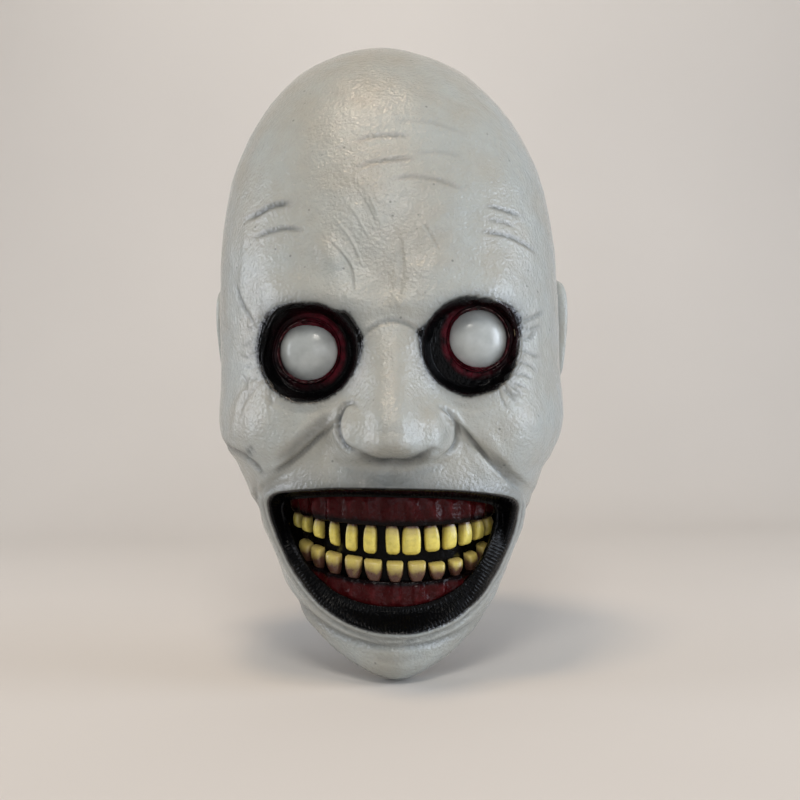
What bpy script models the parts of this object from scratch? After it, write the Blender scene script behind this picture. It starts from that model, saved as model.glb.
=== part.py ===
"""Pull-over latex head mask: blank domed eyes, a wide toothy grin and a slit up the back.

The face looks along -Y, +X is on the right of someone facing it and +Z is up. The origin lies midway
between the ears, level with the lower edge of the eye sockets, where the wearer's head is centred.
All sizes are in metres.
"""

import math

import bmesh
import bpy
import numpy as np
from mathutils import Matrix, Vector

# Head form
CROWN_HEIGHT = 0.1885
CROWN_Y = 0.015
CROWN_LEAN = -0.003
CROWN_LEAN_STATION = 0.22
CHIN_DROP = 0.130
NAPE_DROP = 0.012
FACE_REACH = 0.090
BACK_REACH = 0.108
HALF_WIDTH = 0.0885
SIDE_SHARE = 0.48
WALL = 0.0022
GAP = 0.0003

# Down the head from crown to hem: front reach, front drop, rear reach, rear drop and width as shares of
# the sizes above, and how square the front of the row is (2 is an ellipse, less is more pointed)
HEAD_STATIONS = (
    (0.00, 0.000, 0.000, 0.000, 0.000, 0.000, 2.20),
    (0.10, 0.352, 0.044, 0.355, 0.037, 0.410, 2.20),
    (0.20, 0.638, 0.131, 0.667, 0.117, 0.692, 2.20),
    (0.30, 0.819, 0.237, 0.882, 0.257, 0.890, 2.20),
    (0.40, 0.924, 0.349, 0.978, 0.411, 0.975, 2.20),
    (0.50, 0.962, 0.461, 1.000, 0.551, 1.000, 2.20),
    (0.60, 0.981, 0.579, 0.984, 0.661, 1.000, 2.20),
    (0.70, 1.000, 0.698, 0.946, 0.761, 0.985, 2.15),
    (0.80, 1.000, 0.816, 0.892, 0.850, 0.870, 2.00),
    (0.90, 0.971, 0.931, 0.828, 0.935, 0.745, 1.80),
    (0.96, 0.890, 0.995, 0.796, 0.975, 0.685, 1.68),
    (1.00, 0.700, 1.006, 0.774, 1.000, 0.650, 1.64),
)
CROWN_ROWS = 8
FACE_ROWS = 33
BROW_STATION = 0.42
HEM_STATION = 0.985
FRONT_COLUMNS = 42
REAR_COLUMNS = 14
COLUMN_CROWDING = 0.55

# Where the face ends and the side of the head begins
FACE_FRONT_Y = -0.025
FACE_REAR_Y = 0.005

# Brow, cheeks and chin
BROW_LEVEL = 0.043
BROW_RISE = 0.13
BROW_HEIGHT = 0.0055
BROW_SPREAD = 0.011
BROW_HALF_LENGTH = 0.066
BROW_END_FADE = 0.016
CHEEK_X = 0.058
CHEEK_LEVEL = -0.010
CHEEK_HEIGHT = 0.0075
CHEEK_SPREAD = 0.024
FOLD_START_X = 0.021
FOLD_START_LEVEL = -0.0055
FOLD_START_FADE = 0.005
FOLD_SLOPE = 0.85
FOLD_STEP = 0.0045
FOLD_EDGE = 0.003
FOLD_FADE = 0.014
CHIN_LEVEL = -0.119
CHIN_HEIGHT = 0.005
CHIN_SPREAD = 0.013
JOWL_LEVEL = -0.016
JOWL_EDGE = -0.029
JOWL_EDGE_TILT = 0.05
JOWL_EDGE_FADE = 0.0035
JOWL_HEIGHT = 0.0030
JOWL_SPREAD = 0.016
JOWL_FRONT_Y = -0.010
JOWL_REAR_Y = 0.045
JOWL_INNER_X = 0.030
JOWL_OUTER_X = 0.080
MUZZLE_LEVEL = -0.037
MUZZLE_HEIGHT = 0.005
MUZZLE_SPREAD = 0.012
MUZZLE_HALF_WIDTH = 0.036

# Nose
NOSE_ROOT_LEVEL = 0.037
NOSE_TIP_LEVEL = -0.013
NOSE_BASE_LEVEL = -0.028
NOSE_BASE_FADE = 0.004
NOSE_ROOT_FADE = 0.006
NOSE_REACH = 0.027
NOSE_BLEND = 0.002
NOSE_BRIDGE_HALF_WIDTH = 0.0135
NOSE_BULB_HALF_WIDTH = 0.0175
NOSTRIL_X = 0.0160
NOSTRIL_HEIGHT = 0.0165
NOSTRIL_SPREAD = 0.0110
NOSTRIL_DROP = 0.002
NOSTRIL_EDGE = 0.003

# Eye sockets and eyes, the left one first
SOCKET_CENTRES = ((-0.0375, 0.0228), (0.0378, 0.0240))
EYE_CENTRES = ((-0.0386, 0.0240), (0.0422, 0.0281))
SOCKET_RADIUS = 0.0235
SOCKET_EDGE = 0.003
SOCKET_FLOOR_RADIUS = 0.0185
SOCKET_FLOOR_Y = -0.0660
EYE_TURN = math.radians(15)
EYE_OPENING_RADIUS = 0.0160
EYE_DOME_RADIUS = 0.0139
EYE_SHOWN_RADIUS = 0.0138
EYE_SHELL = 0.0016
LID_BEAD = 0.0013
LID_FLANGE = 0.0014
LID_FLANGE_WIDTH = 0.0026
EYE_RIM_WIDTH = 0.0014

# Mouth opening, lips and the dental arch behind them
LIP_HALF_WIDTH = 0.0606
LIP_TOP = -0.0400
LIP_BOTTOM = -0.1060
LIP_SIDE_BAND = 0.0080
LIP_INNER_SHIFT = -0.0016
LIP_TOP_BAND = 0.0050
LIP_BOTTOM_BAND = 0.0105
MOUTH_TILT = 0.040
LIP_RIDGE = 0.0016
LIP_RIDGE_SPREAD = 0.0035
SMILE_SHAPE = (
    (0.000, 0.000),
    (0.410, 0.008),
    (0.780, 0.046),
    (0.960, 0.105),
    (0.975, 0.245),
    (0.890, 0.460),
    (0.780, 0.645),
    (0.627, 0.810),
    (0.424, 0.930),
    (0.200, 0.990),
    (0.000, 1.000),
)
ARCH_CENTRE_Y = -0.0280
ARCH_HALF_WIDTH = 0.0530
ARCH_DEPTH = 0.0500
LIP_ARCH_OFFSET = 0.0030
LIP_CORNER_LIFT = 0.0080

# Teeth and gums
TOOTH_THICKNESS = 0.0055
LINING_THICKNESS = 0.0016
LINING_MARGIN = 0.0050
LINING_WING = 0.0100
LINING_FLARE = 0.0092
LINING_COVER_RUN = 0.0480
GUM_COVER = 0.0050
UPPER_GUM_LINE = -0.0588
LOWER_GUM_LINE = -0.0846
UPPER_ROW_RISE = 0.0033
LOWER_ROW_RISE = 0.0070
GUM_END = 0.0055
GUM_STATIONS = 27
TOOTH_SECTIONS = (
    (0.00, 0.66, 0.80),
    (0.08, 0.80, 0.90),
    (0.45, 1.00, 1.00),
    (0.80, 0.94, 0.88),
    (0.95, 0.72, 0.70),
    (1.00, 0.40, 0.45),
)
UPPER_TOOTH_PITCH = 0.0100
LOWER_TOOTH_PITCH = 0.0106
UPPER_ROW_SHIFT = -0.0012
LOWER_ROW_SHIFT = 0.0002
UPPER_TOOTH_WIDTHS = (
    0.0066, 0.0050, 0.0058, 0.0050, 0.0058, 0.0062, 0.0066, 0.0088, 0.0071, 0.0066, 0.0062, 0.0060, 0.0080,
)
UPPER_TOOTH_LENGTHS = (
    0.0080, 0.0082, 0.0094, 0.0114, 0.0129, 0.0133, 0.0133, 0.0135, 0.0124, 0.0120, 0.0112, 0.0100, 0.0096,
)
LOWER_TOOTH_WIDTHS = (
    0.0080, 0.0070, 0.0080, 0.0081, 0.0083, 0.0078, 0.0083, 0.0076, 0.0066, 0.0060, 0.0064,
)
LOWER_TOOTH_LENGTHS = (
    0.0086, 0.0094, 0.0094, 0.0099, 0.0097, 0.0094, 0.0092, 0.0076, 0.0074, 0.0080, 0.0088,
)

GUM_ROWS = {
    "upper": (UPPER_GUM_LINE, UPPER_ROW_RISE, UPPER_TOOTH_WIDTHS, UPPER_TOOTH_PITCH),
    "lower": (LOWER_GUM_LINE, LOWER_ROW_RISE, LOWER_TOOTH_WIDTHS, LOWER_TOOTH_PITCH),
}
BACK_OFFSET = -TOOTH_THICKNESS
SKIN_BACK_OFFSET = LIP_ARCH_OFFSET - WALL - 2 * GAP

# Rear slit and its two folding flaps
SLIT_TOP = 0.052
SLIT_TOP_GAP = 0.0040
SLIT_HEM_GAP = 0.0090
FLAP_TOP_WIDTH = 0.0140
FLAP_SPREAD = 0.030
FLAP_GAP = 0.0006
FOLD_AXIS_STANDOFF = 0.0010

# Ears
EAR_HEIGHT = 0.058
EAR_WIDTH = 0.032
EAR_STANDS = (0.0080, 0.0110)
EAR_RIM = 0.0055
EAR_BOWL_DEPTH = 0.0050
EAR_CENTRE_Y = 0.038
EAR_CENTRE_LEVEL = 0.036
EAR_SHAPE = (
    (0.00, 0.50),
    (0.30, 0.44),
    (0.48, 0.18),
    (0.44, -0.12),
    (0.24, -0.36),
    (0.02, -0.50),
    (-0.22, -0.44),
    (-0.30, -0.14),
    (-0.36, 0.16),
    (-0.28, 0.40),
)

SIDES = (("left", -1), ("right", 1))


def clear_scene():
    """Remove everything that the startup scene holds."""
    for obj in list(bpy.data.objects):
        bpy.data.objects.remove(obj)


def finish(name, colour, roughness):
    """Return a plain material of one colour."""
    made = bpy.data.materials.new(name)
    made.use_nodes = True
    shader = made.node_tree.nodes["Principled BSDF"]
    shader.inputs["Base Color"].default_value = (*colour, 1.0)
    shader.inputs["Roughness"].default_value = roughness
    shader.inputs["Metallic"].default_value = 0.0
    return made


def add_object(name, mesh, material, smooth_angle=40):
    """Link a mesh as an object of one material, shaded smooth up to an angle in degrees."""
    obj = bpy.data.objects.new(name, mesh)
    bpy.context.scene.collection.objects.link(obj)
    mesh.materials.append(material)
    mesh.shade_smooth()
    mesh.set_sharp_from_angle(angle=math.radians(smooth_angle))
    return obj


def add_cutter(name, bm):
    """Link a bmesh as a hidden helper for Booleans."""
    bmesh.ops.recalc_face_normals(bm, faces=bm.faces[:])
    mesh = bpy.data.meshes.new(name)
    bm.to_mesh(mesh)
    bm.free()
    obj = bpy.data.objects.new(name, mesh)
    bpy.context.scene.collection.objects.link(obj)
    obj.hide_render = True
    obj.display_type = "WIRE"
    return obj


def boolean(obj, cutter, operation="DIFFERENCE"):
    """Put an exact Boolean with a helper on an object."""
    modifier = obj.modifiers.new(cutter.name, "BOOLEAN")
    modifier.operation = operation
    modifier.object = cutter
    modifier.solver = "EXACT"


def smooth_step(start, end, value):
    """Rise smoothly from 0 at start to 1 at end."""
    share = np.clip((value - start) / (end - start), 0.0, 1.0)
    return share * share * (3.0 - 2.0 * share)


def bell(distance, spread):
    """Fall smoothly from 1 at distance 0, with the given spread."""
    return np.exp(-((distance / spread) ** 2))


def curve_through(knots, values, at, start_slope=None):
    """Read a smooth curve through the values at the knots."""
    knots = np.asarray(knots, float)
    values = np.asarray(values, float)
    slopes = np.gradient(values, knots)
    if start_slope is not None:
        slopes[0] = start_slope
    at = np.clip(np.asarray(at, float), knots[0], knots[-1])
    span = np.clip(np.searchsorted(knots, at, side="right") - 1, 0, len(knots) - 2)
    step = knots[span + 1] - knots[span]
    s = (at - knots[span]) / step
    return (
        (2 * s**3 - 3 * s**2 + 1) * values[span]
        + (s**3 - 2 * s**2 + s) * step * slopes[span]
        + (3 * s**2 - 2 * s**3) * values[span + 1]
        + (s**3 - s**2) * step * slopes[span + 1]
    )


def closed_curve(points, steps):
    """Return a smooth closed outline through the points, with so many steps from each to the next."""
    points = np.asarray(points, float)
    before, after, beyond = np.roll(points, 1, 0), np.roll(points, -1, 0), np.roll(points, -2, 0)
    s = np.linspace(0.0, 1.0, steps, endpoint=False)[None, :, None]
    p0, p1, p2, p3 = (p[:, None, :] for p in (before, points, after, beyond))
    curve = p1 + 0.5 * s * (p2 - p0 + s * (2 * p0 - 5 * p1 + 4 * p2 - p3 + s * (3 * (p1 - p2) + p3 - p0)))
    return curve.reshape(-1, 2)


def distance_inside(x, z, outline):
    """Return how far each point lies inside a closed outline, negative outside it."""
    px, pz = np.ravel(x)[:, None], np.ravel(z)[:, None]
    a, b = outline, np.roll(outline, -1, 0)
    edge = b - a
    along = ((px - a[:, 0]) * edge[:, 0] + (pz - a[:, 1]) * edge[:, 1]) / (edge**2).sum(1)
    along = np.clip(along, 0.0, 1.0)
    away = np.hypot(px - a[:, 0] - along * edge[:, 0], pz - a[:, 1] - along * edge[:, 1]).min(1)
    crosses = (a[:, 1] > pz) != (b[:, 1] > pz)
    rise = np.where(np.abs(edge[:, 1]) < 1e-12, 1e-12, edge[:, 1])
    crossing = px < a[:, 0] + edge[:, 0] * (pz - a[:, 1]) / rise
    inside = (crosses & crossing).sum(1) % 2 == 1
    return np.where(inside, away, -away).reshape(np.shape(x))


def smile(half_width, top, bottom, steps):
    """Return the grin's outline, flat above and deep below."""
    half = [(x * half_width, top + z * (bottom - top)) for x, z in SMILE_SHAPE]
    mirrored = [(-x, z) for x, z in half[-2:0:-1]]
    return closed_curve(half + mirrored, steps)


def outer_lip(steps=4):
    """Return the line where the lips meet the face."""
    return smile(LIP_HALF_WIDTH, LIP_TOP, LIP_BOTTOM, steps)


def inner_lip(steps=4):
    """Return the line where the lips end and the mouth opens."""
    half_width = LIP_HALF_WIDTH - LIP_SIDE_BAND
    outline = smile(half_width, LIP_TOP - LIP_TOP_BAND, LIP_BOTTOM + LIP_BOTTOM_BAND, steps)
    return outline + (LIP_INNER_SHIFT, 0.0)


def arch_y(x, offset):
    """Return the depth of the dental arch at x, moved outwards by an offset."""
    across = np.clip(np.abs(x) / (ARCH_HALF_WIDTH + offset), 0.0, 0.995)
    return ARCH_CENTRE_Y - (ARCH_DEPTH + offset) * np.sqrt(1.0 - across**2)


def arch_points():
    """Return points along the dental arch and their distances from its middle."""
    turn = np.linspace(-math.pi / 2, math.pi / 2, 361)
    x, y = ARCH_HALF_WIDTH * np.sin(turn), ARCH_CENTRE_Y - ARCH_DEPTH * np.cos(turn)
    run = np.concatenate([[0.0], np.cumsum(np.hypot(np.diff(x), np.diff(y)))])
    return turn, run - run[-1] / 2


def arch_turn(distance):
    """Return the angle round the arch's centre at a distance along it from the middle."""
    turn, run = arch_points()
    return np.interp(distance, run, turn)


def arch_frame(distance, offset):
    """Return a point on the arch at a distance from its middle, and the heading of its outward normal."""
    turn = float(arch_turn(distance))
    normal = Vector((math.sin(turn) / ARCH_HALF_WIDTH, -math.cos(turn) / ARCH_DEPTH)).normalized()
    place = Vector((ARCH_HALF_WIDTH * math.sin(turn), ARCH_CENTRE_Y - ARCH_DEPTH * math.cos(turn)))
    return place + normal * offset, math.atan2(normal.x, -normal.y)


def head_guides(station):
    """Return front y, z, rear y, z, half width and front squareness of the rows at these stations."""
    knots, front, front_drop, rear, rear_drop, width, square = np.array(HEAD_STATIONS).T
    front_y = CROWN_Y - (CROWN_Y + FACE_REACH) * curve_through(knots, front, station)
    front_z = CROWN_HEIGHT - (CROWN_HEIGHT + CHIN_DROP) * curve_through(knots, front_drop, station, 0.0)
    rear_y = CROWN_Y + (BACK_REACH - CROWN_Y) * curve_through(knots, rear, station)
    rear_z = CROWN_HEIGHT - (CROWN_HEIGHT + NAPE_DROP) * curve_through(knots, rear_drop, station, 0.0)
    half_width = HALF_WIDTH * curve_through(knots, width, station)
    return front_y, front_z, rear_y, rear_z, half_width, curve_through(knots, square, station)


def head_columns():
    """Return how far across each column of the head lies, round from the left side, and if it is in front."""
    v = np.linspace(-1.0, 1.0, FRONT_COLUMNS + 1)
    across = COLUMN_CROWDING * v + (1.0 - COLUMN_CROWDING) * np.sin(v * math.pi / 2)
    turn = np.linspace(0.0, math.pi, REAR_COLUMNS + 1)[1:-1]
    in_front = np.arange(len(across) + len(turn)) < len(across)
    return np.concatenate([across, np.cos(turn)]), in_front


def head_surface(stations, across, in_front):
    """Return x, y and z of the plain head, before the face is raised on it."""
    front_y, front_z, rear_y, rear_z, width, square = (g[:, None] for g in head_guides(stations))
    side_y = front_y + (rear_y - front_y) * SIDE_SHARE
    side_z = front_z + (rear_z - front_z) * SIDE_SHARE
    square = np.where(in_front, square, 2.0)
    reach = (1.0 - np.abs(across) ** square) ** (1.0 / square)
    end_y = np.where(in_front, front_y, rear_y)
    end_z = np.where(in_front, front_z, rear_z)
    lean = CROWN_LEAN * bell(stations[:, None], CROWN_LEAN_STATION)
    return width * across + lean, side_y + (end_y - side_y) * reach, side_z + (end_z - side_z) * reach


def nose_height(x, z):
    """Return how far the nose stands out: a ridge with a bulb and two wings."""
    levels = (
        NOSE_BASE_LEVEL - NOSE_BASE_FADE,
        NOSE_BASE_LEVEL,
        NOSE_BASE_LEVEL + 0.35 * (NOSE_TIP_LEVEL - NOSE_BASE_LEVEL),
        NOSE_TIP_LEVEL,
        NOSE_TIP_LEVEL + 0.40 * (NOSE_ROOT_LEVEL - NOSE_TIP_LEVEL),
        NOSE_ROOT_LEVEL - NOSE_ROOT_FADE,
        NOSE_ROOT_LEVEL,
    )
    ridge = NOSE_REACH * curve_through(levels, (0.0, 0.16, 0.84, 1.0, 0.62, 0.17, 0.0), z)
    widths = (1.0, 0.96, 1.0, 1.0, 0.30, 0.0, 0.0)
    spread = NOSE_BRIDGE_HALF_WIDTH + (NOSE_BULB_HALF_WIDTH - NOSE_BRIDGE_HALF_WIDTH) * curve_through(
        levels, widths, z
    )
    body = ridge * np.exp(-np.abs(x / spread) ** 3.2)
    wing_level = NOSE_TIP_LEVEL - NOSTRIL_DROP
    wing_reach = np.hypot(np.abs(x) - NOSTRIL_X, 0.85 * (z - wing_level))
    wings = NOSTRIL_HEIGHT * np.exp(-np.abs(wing_reach / NOSTRIL_SPREAD) ** 3.2)
    wings = wings * smooth_step(NOSE_BASE_LEVEL - NOSTRIL_EDGE, NOSE_BASE_LEVEL + NOSTRIL_EDGE, z)
    return NOSE_BLEND * np.log(np.exp(body / NOSE_BLEND) + np.exp(wings / NOSE_BLEND) - 1.0)


def socket_plane_y(x, side, centre_x):
    """Return the depth of an eye socket's flat floor, which is turned outwards."""
    return SOCKET_FLOOR_Y + (x - centre_x) * side * math.tan(EYE_TURN)


def raise_face(x, y, z):
    """Return x, y and z of the head's surface once the face is modelled on it."""
    front = 1.0 - smooth_step(FACE_FRONT_Y, FACE_REAR_Y, y)
    spread_x = np.abs(x)
    brow_line = BROW_LEVEL + BROW_RISE * spread_x
    brow = BROW_HEIGHT * bell(z - brow_line, BROW_SPREAD)
    brow_end = BROW_HALF_LENGTH + BROW_END_FADE / 2
    brow = brow * (1.0 - smooth_step(BROW_HALF_LENGTH - BROW_END_FADE, brow_end, spread_x))
    cheek = CHEEK_HEIGHT * bell(np.hypot(spread_x - CHEEK_X, z - CHEEK_LEVEL), CHEEK_SPREAD)
    below_fold = FOLD_START_LEVEL - FOLD_SLOPE * (spread_x - FOLD_START_X) - z
    beside_nose = smooth_step(FOLD_START_X - FOLD_START_FADE, FOLD_START_X + FOLD_START_FADE, spread_x)
    fold = FOLD_STEP * smooth_step(-FOLD_EDGE, FOLD_EDGE, below_fold)
    fold = fold * np.exp(-np.maximum(below_fold, 0.0) / FOLD_FADE)
    muzzle = MUZZLE_HEIGHT * bell(x, MUZZLE_HALF_WIDTH) * bell(z - MUZZLE_LEVEL, MUZZLE_SPREAD)
    chin = CHIN_HEIGHT * bell(np.hypot(x * 0.7, z - CHIN_LEVEL), CHIN_SPREAD)
    jowl = JOWL_HEIGHT * bell(z - JOWL_LEVEL, JOWL_SPREAD) * (1.0 - smooth_step(JOWL_FRONT_Y, JOWL_REAR_Y, y))
    above_edge = z - JOWL_EDGE + JOWL_EDGE_TILT * x
    jowl = jowl * smooth_step(-JOWL_EDGE_FADE, JOWL_EDGE_FADE, above_edge)
    x = x + np.sign(x) * smooth_step(JOWL_INNER_X, JOWL_OUTER_X, spread_x) * jowl
    y = y - front * (brow + cheek + muzzle + chin + nose_height(x, z) - fold * beside_nose)
    for (_, side), (centre_x, centre_z) in zip(SIDES, SOCKET_CENTRES):
        radius = np.hypot(x - centre_x, z - centre_z)
        sunk = front * (1.0 - smooth_step(SOCKET_FLOOR_RADIUS, SOCKET_RADIUS + SOCKET_EDGE, radius))
        y = y + (socket_plane_y(x, side, centre_x) - y) * sunk
    in_outer = distance_inside(x, z + MOUTH_TILT * x, outer_lip())
    in_inner = distance_inside(x, z + MOUTH_TILT * x, inner_lip())
    y = y - front * LIP_RIDGE * bell(in_outer, LIP_RIDGE_SPREAD)
    across_band = np.clip(in_outer / np.maximum(in_outer - in_inner, 1e-6), 0.0, 1.0)
    turned_in = front * np.where(in_inner > 0, 1.0, smooth_step(0.0, 0.9, across_band))
    inner_half = LIP_HALF_WIDTH - LIP_SIDE_BAND
    within = np.minimum(np.abs(x), inner_half)
    lift = LIP_CORNER_LIFT * smooth_step(0.5 * inner_half, inner_half, within)
    return x, y + (arch_y(within, LIP_ARCH_OFFSET) - lift - y) * turned_in, z


def head_stations():
    """Return the stations of the head's rows, closer together on the face."""
    crown = np.linspace(0.0, BROW_STATION, CROWN_ROWS + 1)[1:-1]
    return np.concatenate([crown, np.linspace(BROW_STATION, 1.0, FACE_ROWS + 1)])


def head_mesh(name):
    """Return the mask's outer surface as a mesh of rows and columns with a point at the crown."""
    x, y, z = raise_face(*head_surface(head_stations(), *head_columns()))
    rows, columns = x.shape
    bm = bmesh.new()
    crown = bm.verts.new((CROWN_LEAN, CROWN_Y, CROWN_HEIGHT))
    grid = [[bm.verts.new((x[r, c], y[r, c], z[r, c])) for c in range(columns)] for r in range(rows)]
    for c in range(columns):
        after = (c + 1) % columns
        bm.faces.new((crown, grid[0][c], grid[0][after]))
        for r in range(rows - 1):
            bm.faces.new((grid[r][c], grid[r + 1][c], grid[r + 1][after], grid[r][after]))
    bmesh.ops.recalc_face_normals(bm, faces=bm.faces[:])
    mesh = bpy.data.meshes.new(name)
    bm.to_mesh(mesh)
    bm.free()
    return mesh


def prism(outline, start_y, end_y):
    """Return a bmesh prism of an x, z outline between two depths."""
    bm = bmesh.new()
    face = bm.faces.new([bm.verts.new((x, start_y, z)) for x, z in outline])
    swept = bmesh.ops.extrude_face_region(bm, geom=[face])
    moved = [item for item in swept["geom"] if isinstance(item, bmesh.types.BMVert)]
    bmesh.ops.translate(bm, verts=moved, vec=(0.0, end_y - start_y, 0.0))
    return bm


def hem_frame():
    """Return a point on the hem's plane, and the plane's downward normal."""
    front_y, front_z, rear_y, rear_z, _, _ = (float(g[0]) for g in head_guides(np.array([HEM_STATION])))
    along = Vector((0.0, rear_y - front_y, rear_z - front_z)).normalized()
    return Vector((0.0, front_y, front_z)), along.cross(Vector((1.0, 0.0, 0.0)))


def hem_cutter():
    """Return the half space below the hem, as a large block."""
    point, down = hem_frame()
    size = 4.0 * BACK_REACH
    bm = bmesh.new()
    bmesh.ops.create_cube(bm, size=1.0)
    turn = Vector((0.0, 0.0, -1.0)).rotation_difference(down).to_matrix().to_4x4()
    place = Matrix.Translation(point + down * (size / 2)) @ turn @ Matrix.Scale(size, 4)
    bmesh.ops.transform(bm, matrix=place, verts=bm.verts[:])
    return add_cutter("hem_trim", bm)


def eye_matrix(index):
    """Return the place and turn of an eye: its own -Y axis looks out of the socket."""
    side = SIDES[index][1]
    centre_x, centre_z = EYE_CENTRES[index]
    depth = float(socket_plane_y(centre_x, side, SOCKET_CENTRES[index][0]))
    return Matrix.Translation((centre_x, depth, centre_z)) @ Matrix.Rotation(side * EYE_TURN, 4, "Z")


def eye_cutter(index):
    """Return the round hole that an eyelid ring fills."""
    bm = bmesh.new()
    length = 4.0 * SOCKET_RADIUS
    along_y = Matrix.Rotation(math.pi / 2, 4, "X")
    bmesh.ops.create_cone(
        bm,
        cap_ends=True,
        segments=32,
        radius1=EYE_OPENING_RADIUS,
        radius2=EYE_OPENING_RADIUS,
        depth=length,
        matrix=eye_matrix(index) @ along_y,
    )
    return add_cutter(f"{SIDES[index][0]}_eye_hole", bm)


def mouth_cutter():
    """Return the mouth opening as a prism of the inner lip line."""
    outline = [(x, z - MOUTH_TILT * x) for x, z in inner_lip(2)]
    return add_cutter("mouth_hole", prism(outline, -2.0 * FACE_REACH, ARCH_CENTRE_Y))


def rear_shares(low):
    """Return half the slit's width and the fold line's distance from the middle at a level."""
    share = (SLIT_TOP - low) / (SLIT_TOP + NAPE_DROP)
    slit = (SLIT_TOP_GAP + (SLIT_HEM_GAP - SLIT_TOP_GAP) * share) / 2
    return slit, FLAP_TOP_WIDTH + (FLAP_SPREAD - FLAP_TOP_WIDTH) * share


def rear_opening():
    """Return the region of both flaps and the slit between them, as seen from behind."""
    low = -CHIN_DROP
    _, top_reach = rear_shares(SLIT_TOP)
    _, low_reach = rear_shares(low)
    corners = [(-top_reach, SLIT_TOP), (top_reach, SLIT_TOP), (low_reach, low), (-low_reach, low)]
    return add_cutter("rear_opening", prism(corners, CROWN_Y, 2.0 * BACK_REACH))


def flap_outline(name, side):
    """Return the region of one flap, between its fold line and the slit."""
    low, top = -CHIN_DROP, SLIT_TOP - FLAP_GAP
    lean = math.hypot(FLAP_SPREAD - FLAP_TOP_WIDTH, SLIT_TOP + NAPE_DROP) / (SLIT_TOP + NAPE_DROP)
    corners = []
    for level in (top, low):
        slit, fold = rear_shares(level)
        corners.append((side * slit, level))
        corners.append((side * (fold - FLAP_GAP * lean), level))
    order = (0, 1, 3, 2)
    return add_cutter(name, prism([corners[i] for i in order], CROWN_Y, 2.0 * BACK_REACH))


def latex_shell(name, material, cutters, keep=None):
    """Add the whole latex skin with its wall, cut to one piece of it."""
    obj = add_object(name, head_mesh(name), material, 180)
    wall = obj.modifiers.new("latex_wall", "SOLIDIFY")
    wall.thickness = WALL
    wall.offset = -1.0
    if keep is not None:
        boolean(obj, keep, "INTERSECT")
    for cutter in cutters:
        boolean(obj, cutter)
    return obj


def fold_axis(side):
    """Return two points on a flap's fold line, which just clears the outside of the head."""
    share = np.linspace(0.0, 1.0, 41)
    line_z = SLIT_TOP - (SLIT_TOP + NAPE_DROP) * share
    line_x = side * (FLAP_TOP_WIDTH + (FLAP_SPREAD - FLAP_TOP_WIDTH) * share)
    fine = np.linspace(-1.0, 1.0, 201)
    x, y, z = head_surface(np.linspace(0.3, 1.0, 281), fine, np.zeros(len(fine), bool))
    nearest = [np.argmin(np.hypot(x - a, z - b)) for a, b in zip(line_x, line_z)]
    depth = np.ravel(y)[nearest]
    chord = np.array([line_x[-1] - line_x[0], depth[-1] - depth[0], line_z[-1] - line_z[0]])
    bulge = (depth - depth[0] - chord[1] * share).max() + FOLD_AXIS_STANDOFF
    start = np.array([line_x[0], depth[0] + bulge, SLIT_TOP])
    return Vector(start), Vector(start + chord)


def build_skin(material):
    """Add the head skin and the two flaps beside its slit."""
    hem = hem_cutter()
    holes = [rear_opening(), eye_cutter(0), eye_cutter(1), mouth_cutter(), hem]
    latex_shell("head_skin", material, holes)
    for name, side in SIDES:
        keep = flap_outline(f"{name}_flap_outline", side)
        flap = latex_shell(f"{name}_rear_flap", material, [hem], keep)
        start, end = fold_axis(side)
        pivot = bpy.data.objects.new(f"{name}_fold_axis", None)
        pivot.location = start
        bpy.context.scene.collection.objects.link(pivot)
        flap.parent = pivot
        flap.matrix_parent_inverse = Matrix.Translation(start).inverted()
        print(f"{name} fold axis from", [round(v, 5) for v in start], "to", [round(v, 5) for v in end])


def turned(name, profile, matrix, material, segments=20):
    """Add a closed profile of radius and depth pairs, turned about the local Y axis."""
    bm = bmesh.new()
    ring = [bm.verts.new((radius, depth, 0.0)) for radius, depth in profile]
    edges = [bm.edges.new((a, b)) for a, b in zip(ring, ring[1:] + ring[:1])]
    bmesh.ops.spin(
        bm, geom=ring + edges, cent=(0, 0, 0), axis=(0, 1, 0), angle=2 * math.pi, steps=segments,
        use_merge=True,
    )
    bmesh.ops.remove_doubles(bm, verts=bm.verts[:], dist=1e-6)
    bmesh.ops.recalc_face_normals(bm, faces=bm.faces[:])
    mesh = bpy.data.meshes.new(name)
    bm.to_mesh(mesh)
    bm.free()
    obj = add_object(name, mesh, material)
    obj.matrix_world = matrix
    return obj


def build_eyelid(index, material):
    """Add the red lid ring that fills a socket's hole and holds the eye from in front."""
    barrel = EYE_OPENING_RADIUS - GAP
    back = WALL + GAP
    flange = EYE_OPENING_RADIUS + LID_FLANGE_WIDTH
    inner = EYE_SHOWN_RADIUS + GAP
    bead = [
        (barrel - LID_BEAD / 2 * (1 - math.cos(a)), -LID_BEAD * math.sin(a))
        for a in np.linspace(0.0, math.pi / 2, 4)
    ]
    profile = [
        (flange, back),
        (flange, back + LID_FLANGE),
        (inner, back + LID_FLANGE),
        (inner, -LID_BEAD / 2),
        *bead[::-1],
        (barrel, back),
    ]
    turned(f"{SIDES[index][0]}_eyelid", profile, eye_matrix(index), material)


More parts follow.
